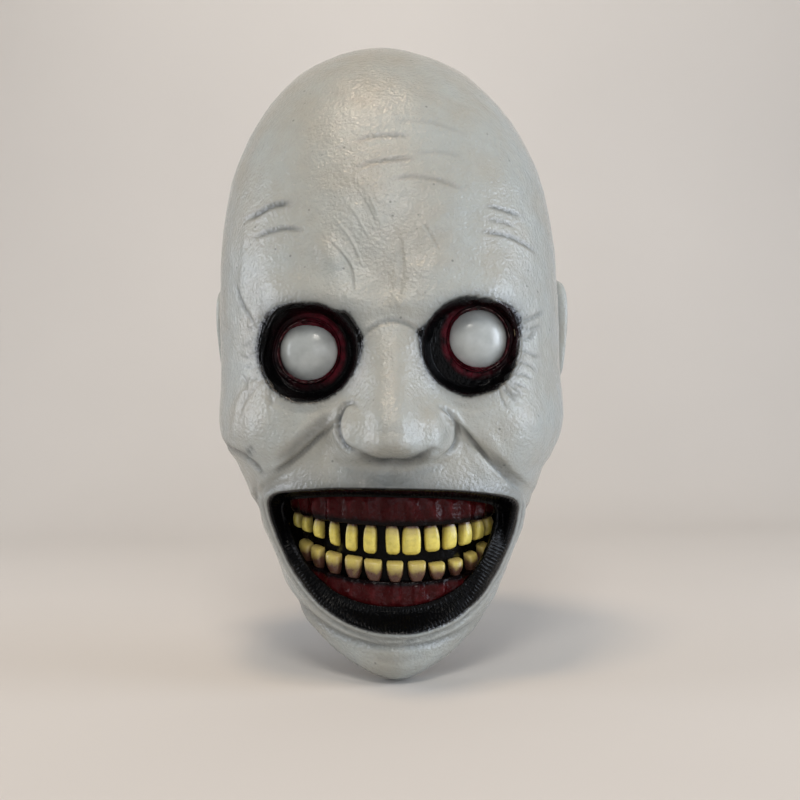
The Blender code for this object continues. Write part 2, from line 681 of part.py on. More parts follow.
def build_eyeball(index, material):
    """Add the hollow white dome that looks out through a lid ring."""
    seat = WALL + 2 * GAP + LID_FLANGE
    rim = EYE_SHOWN_RADIUS + EYE_RIM_WIDTH
    dome_centre = seat + math.sqrt(max(EYE_DOME_RADIUS**2 - EYE_SHOWN_RADIUS**2, 0.0))
    start = math.asin(min(EYE_SHOWN_RADIUS / EYE_DOME_RADIUS, 1.0))
    hollow = EYE_DOME_RADIUS - EYE_SHELL
    outside = [
        (EYE_DOME_RADIUS * math.sin(a), dome_centre - EYE_DOME_RADIUS * math.cos(a))
        for a in np.linspace(0.0, start, 6)
    ]
    inside = [
        (hollow * math.sin(a), dome_centre - hollow * math.cos(a)) for a in np.linspace(start, 0.0, 4)
    ]
    back = seat + EYE_SHELL
    profile = [*outside, (rim, seat), (rim, back), *inside]
    turned(f"{SIDES[index][0]}_eyeball", profile, eye_matrix(index), material)


def skinned(name, bm, loops, material, smooth_angle=40):
    """Add a closed body from a row of equal loops, with a flat face at each end."""
    for first, second in zip(loops, loops[1:]):
        for i in range(len(first)):
            after = (i + 1) % len(first)
            bm.faces.new((first[i], first[after], second[after], second[i]))
    bm.faces.new(loops[0])
    bm.faces.new(loops[-1])
    bmesh.ops.recalc_face_normals(bm, faces=bm.faces[:])
    mesh = bpy.data.meshes.new(name)
    bm.to_mesh(mesh)
    bm.free()
    return add_object(name, mesh, material, smooth_angle)


def arch_band(name, outline, material, runs):
    """Add a band along the dental arch, with a closed outline of offset and height at each run along it."""
    bm = bmesh.new()
    loops = []
    for run in runs:
        places = [(arch_frame(run, offset)[0], height) for offset, height in outline(run)]
        loops.append([bm.verts.new((p.x, p.y, height - MOUTH_TILT * p.x)) for p, height in places])
    return skinned(name, bm, loops, material)


def lip_level(run, upper):
    """Return the height of the inner lip's upper or lower edge at a distance along the arch."""
    outline = inner_lip(8) - (LIP_INNER_SHIFT, 0.0)
    half_width = float(outline[:, 0].max())
    corner = float(outline[np.argmax(outline[:, 0]), 1])
    x = min(abs(float(arch_frame(run, LIP_ARCH_OFFSET)[0].x) - LIP_INNER_SHIFT), half_width)
    edge = outline[(outline[:, 0] >= 0.0) & ((outline[:, 1] >= corner) == upper)]
    edge = edge[np.argsort(edge[:, 0])]
    return float(np.interp(x, edge[:, 0], edge[:, 1]))


def gum_level(row, run):
    """Return the height where a row's teeth leave their gum, which rises towards the corners of the mouth."""
    line, rise, widths, pitch = GUM_ROWS[row]
    return line + rise * (2.0 * run / (pitch * (len(widths) - 1))) ** 2


def build_lining(material):
    """Add the black sheet behind the teeth."""
    last_tooth = UPPER_TOOTH_PITCH * (len(UPPER_TOOTH_WIDTHS) - 1) / 2 + GUM_END

    def section(run):
        flare = max(abs(run) - last_tooth, 0.0) / LINING_WING
        front = BACK_OFFSET - GAP + LINING_FLARE * flare
        back = front - LINING_THICKNESS
        inward = max(-LINING_COVER_RUN, min(run, LINING_COVER_RUN))
        top, bottom = lip_level(inward, True) + LINING_MARGIN, lip_level(inward, False) - LINING_MARGIN
        return ((front, top), (front, bottom), (back, bottom), (back, top))

    middle = np.linspace(-last_tooth, last_tooth, GUM_STATIONS)
    wing = last_tooth + LINING_WING
    arch_band("mouth_lining", section, material, [-wing, *middle, wing])


def build_gum(row, direction, material):
    """Add a gum: it lies on the lining, fills the opening and reaches behind the lip."""
    _, _, widths, pitch = GUM_ROWS[row]

    def section(run):
        line = gum_level(row, run)
        outside = lip_level(run, direction > 0) + direction * GUM_COVER
        outside = direction * max(direction * outside, direction * line + GUM_COVER / 2)
        middle = 0.6 * line + 0.4 * outside
        return (
            (BACK_OFFSET, outside),
            (SKIN_BACK_OFFSET - 0.3 * TOOTH_THICKNESS, outside),
            (SKIN_BACK_OFFSET, 0.3 * line + 0.7 * outside),
            (SKIN_BACK_OFFSET, middle),
            (-0.35 * TOOTH_THICKNESS, line),
            (BACK_OFFSET, line),
        )

    half_run = pitch * (len(widths) - 1) / 2 + GUM_END
    arch_band(f"{row}_gum", section, material, np.linspace(-half_run, half_run, GUM_STATIONS))


def build_tooth(row, number, run, width, length, direction, material):
    """Add one tooth: a rounded peg that hangs from or stands on its gum, flat against the lining."""
    name = f"{row}_tooth_{number:02d}"
    back, heading = arch_frame(run, BACK_OFFSET)
    line = gum_level(row, run)
    slope = (gum_level(row, run + width / 2) - gum_level(row, run - width / 2)) / width
    slope = slope - MOUTH_TILT * math.cos(heading)
    lean = MOUTH_TILT * math.sin(heading)
    bm = bmesh.new()
    loops = []
    for share, across, depth in TOOTH_SECTIONS:
        half = width * across / 2
        front = -TOOTH_THICKNESS * depth
        ring = (
            (-half, 0.0),
            (-half, 0.55 * front),
            (-0.62 * half, 0.92 * front),
            (0.0, front),
            (0.62 * half, 0.92 * front),
            (half, 0.55 * front),
            (half, 0.0),
        )
        level = line + direction * (GAP + (length - GAP) * share)
        loops.append([bm.verts.new((x, y, level + slope * x + lean * y)) for x, y in ring])
    obj = skinned(name, bm, loops, material, 60)
    obj.location = (back.x, back.y, -MOUTH_TILT * back.x)
    obj.rotation_euler = (0.0, 0.0, heading)


def build_teeth(material):
    """Add both rows of teeth, evenly spaced along the arch."""
    rows = (("upper", UPPER_TOOTH_LENGTHS, UPPER_ROW_SHIFT, -1), ("lower", LOWER_TOOTH_LENGTHS, LOWER_ROW_SHIFT, 1))
    for row, lengths, shift, direction in rows:
        _, _, widths, pitch = GUM_ROWS[row]
        first = shift - pitch * (len(widths) - 1) / 2
        for i, (width, length) in enumerate(zip(widths, lengths)):
            build_tooth(row, i + 1, first + pitch * i, width, length, direction, material)


def side_x(y, z):
    """Return the head's half width at a depth and height behind its widest line."""
    _, front_z, rear_y, rear_z, width, _ = guides = head_guides(np.linspace(0.2, 1.0, 401))
    side_y = guides[0] + (rear_y - guides[0]) * SIDE_SHARE
    side_z = front_z + (rear_z - front_z) * SIDE_SHARE
    reach = (z - side_z) / (rear_z - side_z)
    met = (reach >= 0.0) & (reach <= 1.0)
    depth = side_y + (rear_y - side_y) * reach
    return float(np.interp(y, depth[met], (width * np.sqrt(np.clip(1.0 - reach**2, 0.0, 1.0)))[met]))


def build_ear(index, material):
    """Add an ear: a rimmed shell with a sunken bowl, shaped to the side of the head that carries it."""
    name, side = SIDES[index]
    stand = EAR_STANDS[index]
    middle = (EAR_CENTRE_Y, EAR_CENTRE_LEVEL)
    outline = closed_curve([(y * EAR_WIDTH, z * EAR_HEIGHT) for y, z in EAR_SHAPE], 2) + middle
    centre = outline.mean(0)
    inner = centre + (outline - centre) * (1.0 - 2.0 * EAR_RIM / EAR_WIDTH)
    levels = (
        (outline * 0.2 + centre * 0.8, 0.0),
        (outline * 0.6 + centre * 0.4, 0.0),
        (outline, 0.0),
        (outline, 0.45 * stand),
        (outline * 0.5 + inner * 0.5, stand),
        (inner, stand - 0.3 * EAR_BOWL_DEPTH),
        (inner * 0.55 + centre * 0.45, stand - EAR_BOWL_DEPTH),
    )
    bm = bmesh.new()
    loops = []
    for ring, out in levels:
        loops.append([bm.verts.new((side * (side_x(y, z) + GAP + out), y, z)) for y, z in ring])
    skinned(f"{name}_ear", bm, loops, material)


def main():
    """Build every piece of the mask."""
    clear_scene()
    latex = finish("grey_latex", (0.46, 0.48, 0.46), 0.45)
    eye_white = finish("white_dome", (0.62, 0.65, 0.64), 0.25)
    lid_red = finish("red_latex", (0.10, 0.015, 0.02), 0.3)
    gum_red = finish("gum_latex", (0.09, 0.012, 0.012), 0.25)
    black = finish("black_latex", (0.006, 0.006, 0.007), 0.4)
    ivory = finish("yellow_enamel", (0.52, 0.45, 0.14), 0.3)
    build_skin(latex)
    for index in range(len(SIDES)):
        build_eyelid(index, lid_red)
        build_eyeball(index, eye_white)
        build_ear(index, latex)
    build_lining(black)
    build_gum("upper", 1, gum_red)
    build_gum("lower", -1, gum_red)
    build_teeth(ivory)


main()
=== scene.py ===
"""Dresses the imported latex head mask: sculpted and painted skin, eyes, ears, gums and teeth.

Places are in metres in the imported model's frame: the face looks along -Y, +X is on the right of someone
facing it and +Z is up. The sculptor's marks are placed by where they show in the picture, in its pixels,
and are then pressed into the surface itself, so they sit on it from every side.
"""

import logging
import math
from collections.abc import Callable, Sequence
from dataclasses import dataclass
from enum import Enum, IntEnum
from functools import partial

import bmesh
import bpy
import numpy as np
from mathutils import Matrix, Vector, noise


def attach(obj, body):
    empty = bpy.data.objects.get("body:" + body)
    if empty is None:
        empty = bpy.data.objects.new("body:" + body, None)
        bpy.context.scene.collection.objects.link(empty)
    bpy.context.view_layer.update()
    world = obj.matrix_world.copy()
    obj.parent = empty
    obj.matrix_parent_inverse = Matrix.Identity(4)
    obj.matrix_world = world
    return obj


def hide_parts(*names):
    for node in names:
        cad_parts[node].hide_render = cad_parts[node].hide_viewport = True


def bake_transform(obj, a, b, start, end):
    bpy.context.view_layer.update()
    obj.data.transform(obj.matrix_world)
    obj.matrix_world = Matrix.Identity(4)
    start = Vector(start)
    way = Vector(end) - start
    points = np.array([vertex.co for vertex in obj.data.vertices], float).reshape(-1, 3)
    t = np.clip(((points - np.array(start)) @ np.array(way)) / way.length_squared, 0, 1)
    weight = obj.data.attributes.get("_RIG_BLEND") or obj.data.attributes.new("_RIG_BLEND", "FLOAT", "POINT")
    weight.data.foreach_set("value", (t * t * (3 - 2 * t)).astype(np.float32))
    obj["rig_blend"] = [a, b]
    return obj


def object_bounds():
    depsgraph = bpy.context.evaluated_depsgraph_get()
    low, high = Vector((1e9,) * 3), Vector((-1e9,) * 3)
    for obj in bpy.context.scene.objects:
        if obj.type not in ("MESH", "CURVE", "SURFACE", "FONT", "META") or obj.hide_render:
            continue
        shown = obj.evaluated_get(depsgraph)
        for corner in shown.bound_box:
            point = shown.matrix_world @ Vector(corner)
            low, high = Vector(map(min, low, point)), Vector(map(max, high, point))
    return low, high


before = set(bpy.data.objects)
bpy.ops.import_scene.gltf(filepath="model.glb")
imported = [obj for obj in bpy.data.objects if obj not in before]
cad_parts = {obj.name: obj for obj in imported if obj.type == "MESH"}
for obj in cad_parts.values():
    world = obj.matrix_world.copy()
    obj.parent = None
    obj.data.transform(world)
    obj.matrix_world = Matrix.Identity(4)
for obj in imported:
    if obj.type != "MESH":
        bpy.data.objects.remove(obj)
CAD_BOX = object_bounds()

LOG = logging.getLogger("mask")
MM = 0.001
TINY = 1e-6
# Millimetres into the black paint, where there is none near
NO_BLACK = -20.0
# The span that most of a noise texture's values lie in
NOISE_SPAN = (0.3, 0.7)
SIDES = (("left", -1), ("right", 1))
Array = np.ndarray
Pair, Triple = tuple[float, float], tuple[float, float, float]
Points = tuple[Pair, ...]
Table = tuple[tuple[float, ...], ...]
BMesh, Vert = bmesh.types.BMesh, bmesh.types.BMVert
Piece, Material = bpy.types.Object, bpy.types.Material


def smooth_step(start: float, end: float, value: Array) -> Array:
    """Rise smoothly from 0 at start to 1 at end."""
    share = np.clip((value - start) / (end - start), 0.0, 1.0)
    return share * share * (3.0 - 2.0 * share)


def bell(distance: Array, spread: float) -> Array:
    """Fall smoothly from 1 at distance 0, with the given spread."""
    return np.exp(-((distance / spread) ** 2))


def from_heading(angle: Array, heading: float) -> Array:
    """Return how far angles in radians are turned from a heading, up to half a turn either way."""
    return (angle - heading + math.pi) % (2 * math.pi) - math.pi


def curve_through(knots: Sequence, values: Sequence, at: Array, start_slope: float | None = None) -> Array:
    """Read a smooth curve through values at knots.

    Args:
        knots: Where the values stand, rising.
        values: The values there.
        at: Where to read the curve.
        start_slope: The slope at the first knot, where it isn't the curve's own.

    Returns:
        The curve's values.
    """
    knots = np.asarray(knots, float)
    values = np.asarray(values, float)
    slopes = np.gradient(values, knots)
    if start_slope is not None:
        slopes[0] = start_slope
    at = np.clip(np.asarray(at, float), knots[0], knots[-1])
    span = np.clip(np.searchsorted(knots, at, side="right") - 1, 0, len(knots) - 2)
    step = knots[span + 1] - knots[span]
    s = (at - knots[span]) / step
    return (
        (2 * s**3 - 3 * s**2 + 1) * values[span]
        + (s**3 - 2 * s**2 + s) * step * slopes[span]
        + (3 * s**2 - 2 * s**3) * values[span + 1]
        + (s**3 - s**2) * step * slopes[span + 1]
    )


def spline(points: Points, steps: int, closed: bool) -> Array:
    """Return a smooth line through points.

    Args:
        points: The points that it passes, in order.
        steps: How many short stretches lie between one point and the next.
        closed: Whether it returns to its first point.

    Returns:
        The line's points, one a row.
    """
    line = np.asarray(points, float)
    if closed:
        line = np.concatenate([line[-1:], line, line[:2]])
    else:
        line = np.concatenate([2 * line[:1] - line[1:2], line, 2 * line[-1:] - line[-2:-1]])
    p0, p1, p2, p3 = (line[i : len(line) - 3 + i, None, :] for i in range(4))
    s = np.linspace(0.0, 1.0, steps, endpoint=False)[None, :, None]
    curve = p1 + 0.5 * s * (p2 - p0 + s * (2 * p0 - 5 * p1 + 4 * p2 - p3 + s * (3 * (p1 - p2) + p3 - p0)))
    curve = curve.reshape(-1, 2)
    return curve if closed else np.concatenate([curve, line[-2:-1]])


@dataclass(frozen=True)
class Nearest:
    """Where points lie about a line: how far off, how far along it, and its nearest point."""

    away: Array
    side: Array
    run: Array
    place: Array
    length: float


def nearest_on(points: Array, line: Array, closed: bool, reach: float = math.inf) -> Nearest:
    """Measure points against a line.

    Args:
        points: The points, one a row.
        line: The line's points, one a row.
        closed: Whether the line is an outline.
        reach: How far about the line to measure: points beyond it count as that far away.

    Returns:
        The distances. The side is 1 inside an outline and else -1.
    """
    near = np.all((points > line.min(0) - reach) & (points < line.max(0) + reach), 1)
    if not near.all():
        found = nearest_on(points[near], line, closed)
        away, side, run = np.full(len(points), reach), np.full(len(points), -1.0), np.zeros(len(points))
        place = np.tile(line[0], (len(points), 1))
        away[near], side[near], run[near], place[near] = found.away, found.side, found.run, found.place
        return Nearest(away, side, run, place, found.length)
    starts = line if closed else line[:-1]
    edges = (np.roll(line, -1, 0) if closed else line[1:]) - starts
    lengths = np.hypot(*edges.T)
    best = np.full(len(points), np.inf)
    run, place = np.zeros(len(points)), np.zeros((len(points), 2))
    odd = np.zeros(len(points), bool)
    for start, edge, length, before in zip(starts, edges, lengths, np.cumsum(lengths) - lengths):
        offset = points - start
        share = np.clip(offset @ edge / max(length**2, TINY**3), 0.0, 1.0)
        spot = start + share[:, None] * edge
        gap = ((points - spot) ** 2).sum(1)
        closer = gap < best
        best[closer] = gap[closer]
        run[closer] = before + share[closer] * length
        place[closer] = spot[closer]
        if closed and edge[1] != 0.0:
            level = (start[1] > points[:, 1]) != (start[1] + edge[1] > points[:, 1])
            odd ^= level & (offset[:, 0] < edge[0] * offset[:, 1] / edge[1])
    return Nearest(np.sqrt(best), np.where(odd, 1.0, -1.0), run, place, float(lengths.sum()))


def grain(places: Array, size: float, seed: float = 0.0) -> Array:
    """Return smooth random values from -1 to 1 for places, whose lumps are about so large."""
    return np.array([noise.noise(Vector(p) / size + Vector((seed, seed, seed))) for p in places])


def put_in_scene(name: str, data: bpy.types.ID) -> Piece:
    """Add an object to the scene.

    Args:
        name: Its name.
        data: Its mesh, lamp or camera.

    Returns:
        The object.
    """
    made = bpy.data.objects.new(name, data)
    bpy.context.scene.collection.objects.link(made)
    return made


def to_mesh(name: str, bm: BMesh) -> bpy.types.Mesh:
    """Turn a built mesh into a smooth one of the scene.

    Args:
        name: Its name.
        bm: The built mesh, which is freed.

    Returns:
        The mesh.
    """
    mesh = bpy.data.meshes.new(name)
    bm.to_mesh(mesh)
    bm.free()
    mesh.shade_smooth()
    return mesh


@dataclass(frozen=True)
class PhotoView:
    """The camera's place before the mask, and where a point of the mask shows in its picture."""

    distance: float = 0.65
    focal_px: float = 1233.0
    middle_px: Pair = (391.0, 400.0)
    frame_px: float = 800.0
    roll: float = math.radians(1.26)
    sensor_mm: float = 36.0

    def project(self, places: Array) -> Array:
        """Return the picture's pixels where places show.

        Args:
            places: Points in metres, one a row.

        Returns:
            Pixel pairs, one a row.
        """
        scale = self.focal_px / (places[:, 1] + self.distance)
        across, up = places[:, 0] * scale, places[:, 2] * scale
        px = self.middle_px[0] + across * math.cos(self.roll) - up * math.sin(self.roll)
        py = self.middle_px[1] - up * math.cos(self.roll) - across * math.sin(self.roll)
        return np.stack([px, py], 1)

    def mm_per_px(self, places: Array) -> Array:
        """Return how many millimetres a pixel covers at places."""
        return (places[:, 1] + self.distance) / self.focal_px / MM

    def add_camera(self) -> None:
        """Add the scene's camera."""
        data = bpy.data.cameras.new("camera")
        data.sensor_width = self.sensor_mm
        data.lens = self.sensor_mm * self.focal_px / self.frame_px
        data.shift_x = 0.5 - self.middle_px[0] / self.frame_px
        made = put_in_scene("camera", data)
        made.location = (0.0, -self.distance, 0.0)
        made.rotation_euler = (math.radians(90), 0.0, 0.0)
        made.rotation_euler.rotate_axis("Z", -self.roll)
        bpy.context.scene.camera = made


@dataclass(frozen=True)
class HeadForm:
    """The plain head: rows from crown to hem, each a tilted oval."""

    crown_height: float = 0.1885
    crown_y: float = 0.015
    crown_lean: float = -0.003
    crown_lean_station: float = 0.22
    chin_drop: float = 0.13
    nape_drop: float = 0.012
    face_reach: float = 0.09
    back_reach: float = 0.108
    half_width: float = 0.0885
    side_share: float = 0.48
    hem_station: float = 0.985
    # Station, front reach, front drop, rear reach, rear drop and width as shares, and the front's squareness
    stations: Table = (
        (0.00, 0.000, 0.000, 0.000, 0.000, 0.000, 2.20),
        (0.10, 0.352, 0.044, 0.355, 0.037, 0.410, 2.20),
        (0.20, 0.638, 0.131, 0.667, 0.117, 0.692, 2.20),
        (0.30, 0.819, 0.237, 0.882, 0.257, 0.890, 2.20),
        (0.40, 0.924, 0.349, 0.978, 0.411, 0.975, 2.20),
        (0.50, 0.962, 0.461, 1.000, 0.551, 1.000, 2.20),
        (0.60, 0.981, 0.579, 0.984, 0.661, 1.000, 2.20),
        (0.70, 1.000, 0.698, 0.946, 0.761, 0.985, 2.15),
        (0.80, 1.000, 0.816, 0.892, 0.850, 0.870, 2.00),
        (0.90, 0.971, 0.931, 0.828, 0.935, 0.745, 1.80),
        (0.96, 0.890, 0.995, 0.796, 0.975, 0.685, 1.68),
        (1.00, 0.700, 1.006, 0.774, 1.000, 0.650, 1.64),
    )
    column_crowding: float = 0.55

    def guides(self, station: Array) -> tuple[Array, ...]:
        """Read the lines that guide the rows.

        Args:
            station: Where the rows lie, from 0 at the crown to 1 at the hem.

        Returns:
            Front y and z, rear y and z, half width and front squareness of the rows.
        """
        knots, front, front_drop, rear, rear_drop, width, square = np.array(self.stations).T
        rise, back_rise = self.crown_height + self.chin_drop, self.crown_height + self.nape_drop
        front_y = self.crown_y - (self.crown_y + self.face_reach) * curve_through(knots, front, station)
        front_z = self.crown_height - rise * curve_through(knots, front_drop, station, 0.0)
        rear_y = self.crown_y + (self.back_reach - self.crown_y) * curve_through(knots, rear, station)
        rear_z = self.crown_height - back_rise * curve_through(knots, rear_drop, station, 0.0)
        half_width = self.half_width * curve_through(knots, width, station)
        return front_y, front_z, rear_y, rear_z, half_width, curve_through(knots, square, station)

    def across(self, way: Array) -> tuple[Array, Array]:
        """Turn a way round the head into a share of its width.

        Args:
            way: From -1 to 1 over the face, and on to -2 and 2 at the middle of the back.

        Returns:
            The share of the half width, and whether the place is on the front half.
        """
        in_front = np.abs(way) <= 1.0
        bend = self.column_crowding * way + (1.0 - self.column_crowding) * np.sin(way * math.pi / 2)
        rear = np.sign(way) * np.cos((np.abs(way) - 1.0) * math.pi / 2)
        return np.where(in_front, bend, rear), in_front

    def surface(self, station: Array, across: Array, in_front: Array) -> Array:
        """Return points of the plain head, before the face is raised on it.

        Args:
            station: Where their rows lie, from 0 at the crown to 1 at the hem.
            across: Their shares of the row's half width.
            in_front: Whether they are on the front half.

        Returns:
            The points, one a row.
        """
        front_y, front_z, rear_y, rear_z, width, square = self.guides(station)
        side_y = front_y + (rear_y - front_y) * self.side_share
        side_z = front_z + (rear_z - front_z) * self.side_share
        square = np.where(in_front, square, 2.0)
        reach = np.clip(1.0 - np.abs(across) ** square, 0.0, 1.0) ** (1.0 / square)
        end_y = np.where(in_front, front_y, rear_y)
        end_z = np.where(in_front, front_z, rear_z)
        lean = self.crown_lean * bell(station, self.crown_lean_station)
        return np.stack(
            [width * across + lean, side_y + (end_y - side_y) * reach, side_z + (end_z - side_z) * reach], 1
        )

    def side_x(self, y: float, z: float) -> float:
        """Measure the head behind its widest line.

        Args:
            y: The depth.
            z: The height.

        Returns:
            The half width there.
        """
        front_y, front_z, rear_y, rear_z, width, _ = self.guides(np.linspace(0.2, 1.0, 401))
        side_y = front_y + (rear_y - front_y) * self.side_share
        side_z = front_z + (rear_z - front_z) * self.side_share
        reach = (z - side_z) / (rear_z - side_z)
        met = (reach >= 0.0) & (reach <= 1.0)
        depth = side_y + (rear_y - side_y) * reach
        half = width * np.sqrt(np.clip(1.0 - reach**2, 0.0, 1.0))
        return float(np.interp(y, depth[met], half[met]))


@dataclass(frozen=True)
class NoseForm:
    """A broad nose: a ridge with a bulb and two wings."""

    root_level: float = 0.037
    tip_level: float = -0.013
    base_level: float = -0.028
    base_fade: float = 0.004
    root_fade: float = 0.006
    reach: float = 0.027
    blend: float = 0.004
    bridge_half_width: float = 0.0135
    bulb_half_width: float = 0.0175
    wing_x: float = 0.016
    wing_height: float = 0.0165
    wing_spread: float = 0.011
    wing_drop: float = 0.002
    wing_edge: float = 0.003

    def height(self, x: Array, z: Array) -> Array:
        """Return how far the nose stands out.

        Args:
            x: Places from side to side.
            z: Their heights.

        Returns:
            The distances out of the face.
        """
        levels = (
            self.base_level - self.base_fade,
            self.base_level,
            self.base_level + 0.35 * (self.tip_level - self.base_level),
            self.tip_level,
            self.tip_level + 0.4 * (self.root_level - self.tip_level),
            self.root_level - self.root_fade,
            self.root_level,
        )
        ridge = self.reach * curve_through(levels, (0.0, 0.16, 0.84, 1.0, 0.62, 0.17, 0.0), z)
        fullness = curve_through(levels, (1.0, 0.96, 1.0, 1.0, 0.3, 0.0, 0.0), z)
        spread = self.bridge_half_width + (self.bulb_half_width - self.bridge_half_width) * fullness
        body = ridge * np.exp(-np.abs(x / spread) ** 2.6)
        wing_reach = np.hypot(np.abs(x) - self.wing_x, 0.85 * (z - self.tip_level + self.wing_drop))
        wings = self.wing_height * np.exp(-np.abs(wing_reach / self.wing_spread) ** 3.2)
        wings = wings * smooth_step(self.base_level - self.wing_edge, self.base_level + self.wing_edge, z)
        return self.blend * np.log(np.exp(body / self.blend) + np.exp(wings / self.blend) - 1.0)


@dataclass(frozen=True)
class SocketForm:
    """The round eye sockets and the places of the eyes in them, the left one first."""

    socket_centres: Points = ((-0.0375, 0.0228), (0.0378, 0.024))
    eye_centres: Points = ((-0.0386, 0.024), (0.0422, 0.0281))
    radius: float = 0.0224
    edge: float = 0.0012
    floor_radius: float = 0.0185
    lid_room: Pair = (0.0164, 0.0182)
    floor_y: float = -0.066
    turn: float = math.radians(15)
    opening_radius: float = 0.016
    fleshy_sides: Pair = (158.0, 205.0)

    def floor(self, index: int, x: Array) -> Array:
        """Return the depth of a socket's flat floor, which is turned outwards."""
        side = SIDES[index][1]
        return self.floor_y + (x - self.socket_centres[index][0]) * side * math.tan(self.turn)

    def eye_matrix(self, index: int) -> Matrix:
        """Return the place and turn of an eye.

        Args:
            index: 0 for the left one and 1 for the right.

        Returns:
            The matrix, whose own -Y axis looks out of the socket.
        """
        x, z = self.eye_centres[index]
        place = Matrix.Translation((x, float(self.floor(index, np.array(x))), z))
        return place @ Matrix.Rotation(SIDES[index][1] * self.turn, 4, "Z")

    def from_axis(self, index: int, places: Array) -> tuple[Array, Array]:
        """Measure places about an eye's axis.

        Args:
            index: 0 for the left one and 1 for the right.
            places: Points in metres, one a row.

        Returns:
            Their distances from the axis, and their angles about it from straight outwards.
        """
        back = np.array(self.eye_matrix(index).inverted())
        local = places @ back[:3, :3].T + back[:3, 3]
        outward = local[:, 0] * SIDES[index][1]
        return np.hypot(local[:, 0], local[:, 2]), np.arctan2(local[:, 2], outward)


@dataclass(frozen=True)
class MouthForm:
    """The grin: two lip lines and the dental arch behind them."""

    half_width: float = 0.0606
    top: float = -0.04
    bottom: float = -0.106
    side_band: float = 0.008
    inner_shift: float = -0.0016
    top_band: float = 0.005
    bottom_band: float = 0.0105
    tilt: float = 0.04
    ridge: float = 0.0016
    ridge_spread: float = 0.0035
    corner_lift: float = 0.008
    shape: Points = (
        (0.000, 0.000), (0.41, 0.008), (0.78, 0.046), (0.96, 0.105), (0.975, 0.245), (0.89, 0.46),
        (0.78, 0.645), (0.627, 0.81), (0.424, 0.93), (0.2, 0.99), (0.000, 1.000),
    )
    arch_centre_y: float = -0.028
    arch_half_width: float = 0.053
    arch_depth: float = 0.05
    lip_offset: float = 0.003

    def smile(self, half_width: float, top: float, bottom: float, steps: int) -> Array:
        """Return a grin's outline, flat above and deep below.

        Args:
            half_width: Half of its width.
            top: Its highest level.
            bottom: Its lowest level.
            steps: How many stretches lie between two points of the shape.

        Returns:
            The outline's points, one a row.
        """
        half = [(x * half_width, top + z * (bottom - top)) for x, z in self.shape]
        mirrored = [(-x, z) for x, z in half[-2:0:-1]]
        return spline(tuple(half + mirrored), steps, True)

    def outer_lip(self, steps: int = 4) -> Array:
        """Return the line where the lips meet the face."""
        return self.smile(self.half_width, self.top, self.bottom, steps)

    def inner_lip(self, steps: int = 4) -> Array:
        """Return the line where the lips end and the mouth opens.

        Args:
            steps: How many stretches lie between two points of the shape.

        Returns:
            The outline's points, one a row.
        """
        low = self.bottom + self.bottom_band
        outline = self.smile(self.half_width - self.side_band, self.top - self.top_band, low, steps)
        return outline + (self.inner_shift, 0.0)

    def level(self, places: Array) -> Array:
        """Return the x and z of places with the grin's tilt taken out."""
        return np.stack([places[:, 0], places[:, 2] + self.tilt * places[:, 0]], 1)

    def arch_y(self, x: Array, offset: float) -> Array:
        """Return the depth of the dental arch at x, moved outwards by an offset."""
        across = np.clip(np.abs(x) / (self.arch_half_width + offset), 0.0, 0.995)
        return self.arch_centre_y - (self.arch_depth + offset) * np.sqrt(1.0 - across**2)

    def arch(self, run: Array, offset: Array) -> tuple[Array, Array, Array]:
        """Follow the dental arch.

        Args:
            run: Distances along it from its middle.
            offset: Distances out from it.

        Returns:
            The x and y there, and the heading of the outward normal.
        """
        turn = np.linspace(-math.pi / 2, math.pi / 2, 361)
        x, y = self.arch_half_width * np.sin(turn), -self.arch_depth * np.cos(turn)
        steps = np.concatenate([[0.0], np.cumsum(np.hypot(np.diff(x), np.diff(y)))])
        at = np.interp(run, steps - steps[-1] / 2, turn)
        normal_x, normal_y = np.sin(at) / self.arch_half_width, -np.cos(at) / self.arch_depth
        size = np.hypot(normal_x, normal_y)
        x = self.arch_half_width * np.sin(at) + normal_x / size * offset
        y = self.arch_centre_y - self.arch_depth * np.cos(at) + normal_y / size * offset
        return x, y, np.arctan2(normal_x, -normal_y)

    def lip_level(self, run: Array, upper: bool) -> Array:
        """Return the height of an edge of the inner lip.

        Args:
            run: Distances along the dental arch from its middle.
            upper: Whether the upper edge is meant, or else the lower one.

        Returns:
            The heights there.
        """
        outline = self.inner_lip(8) - (self.inner_shift, 0.0)
        corner = outline[np.argmax(outline[:, 0]), 1]
        edge = outline[(outline[:, 0] >= 0.0) & ((outline[:, 1] >= corner) == upper)]
        edge = edge[np.argsort(edge[:, 0])]
        x, _, _ = self.arch(run, np.full(np.shape(run), self.lip_offset))
        return np.interp(np.abs(x - self.inner_shift), edge[:, 0], edge[:, 1])


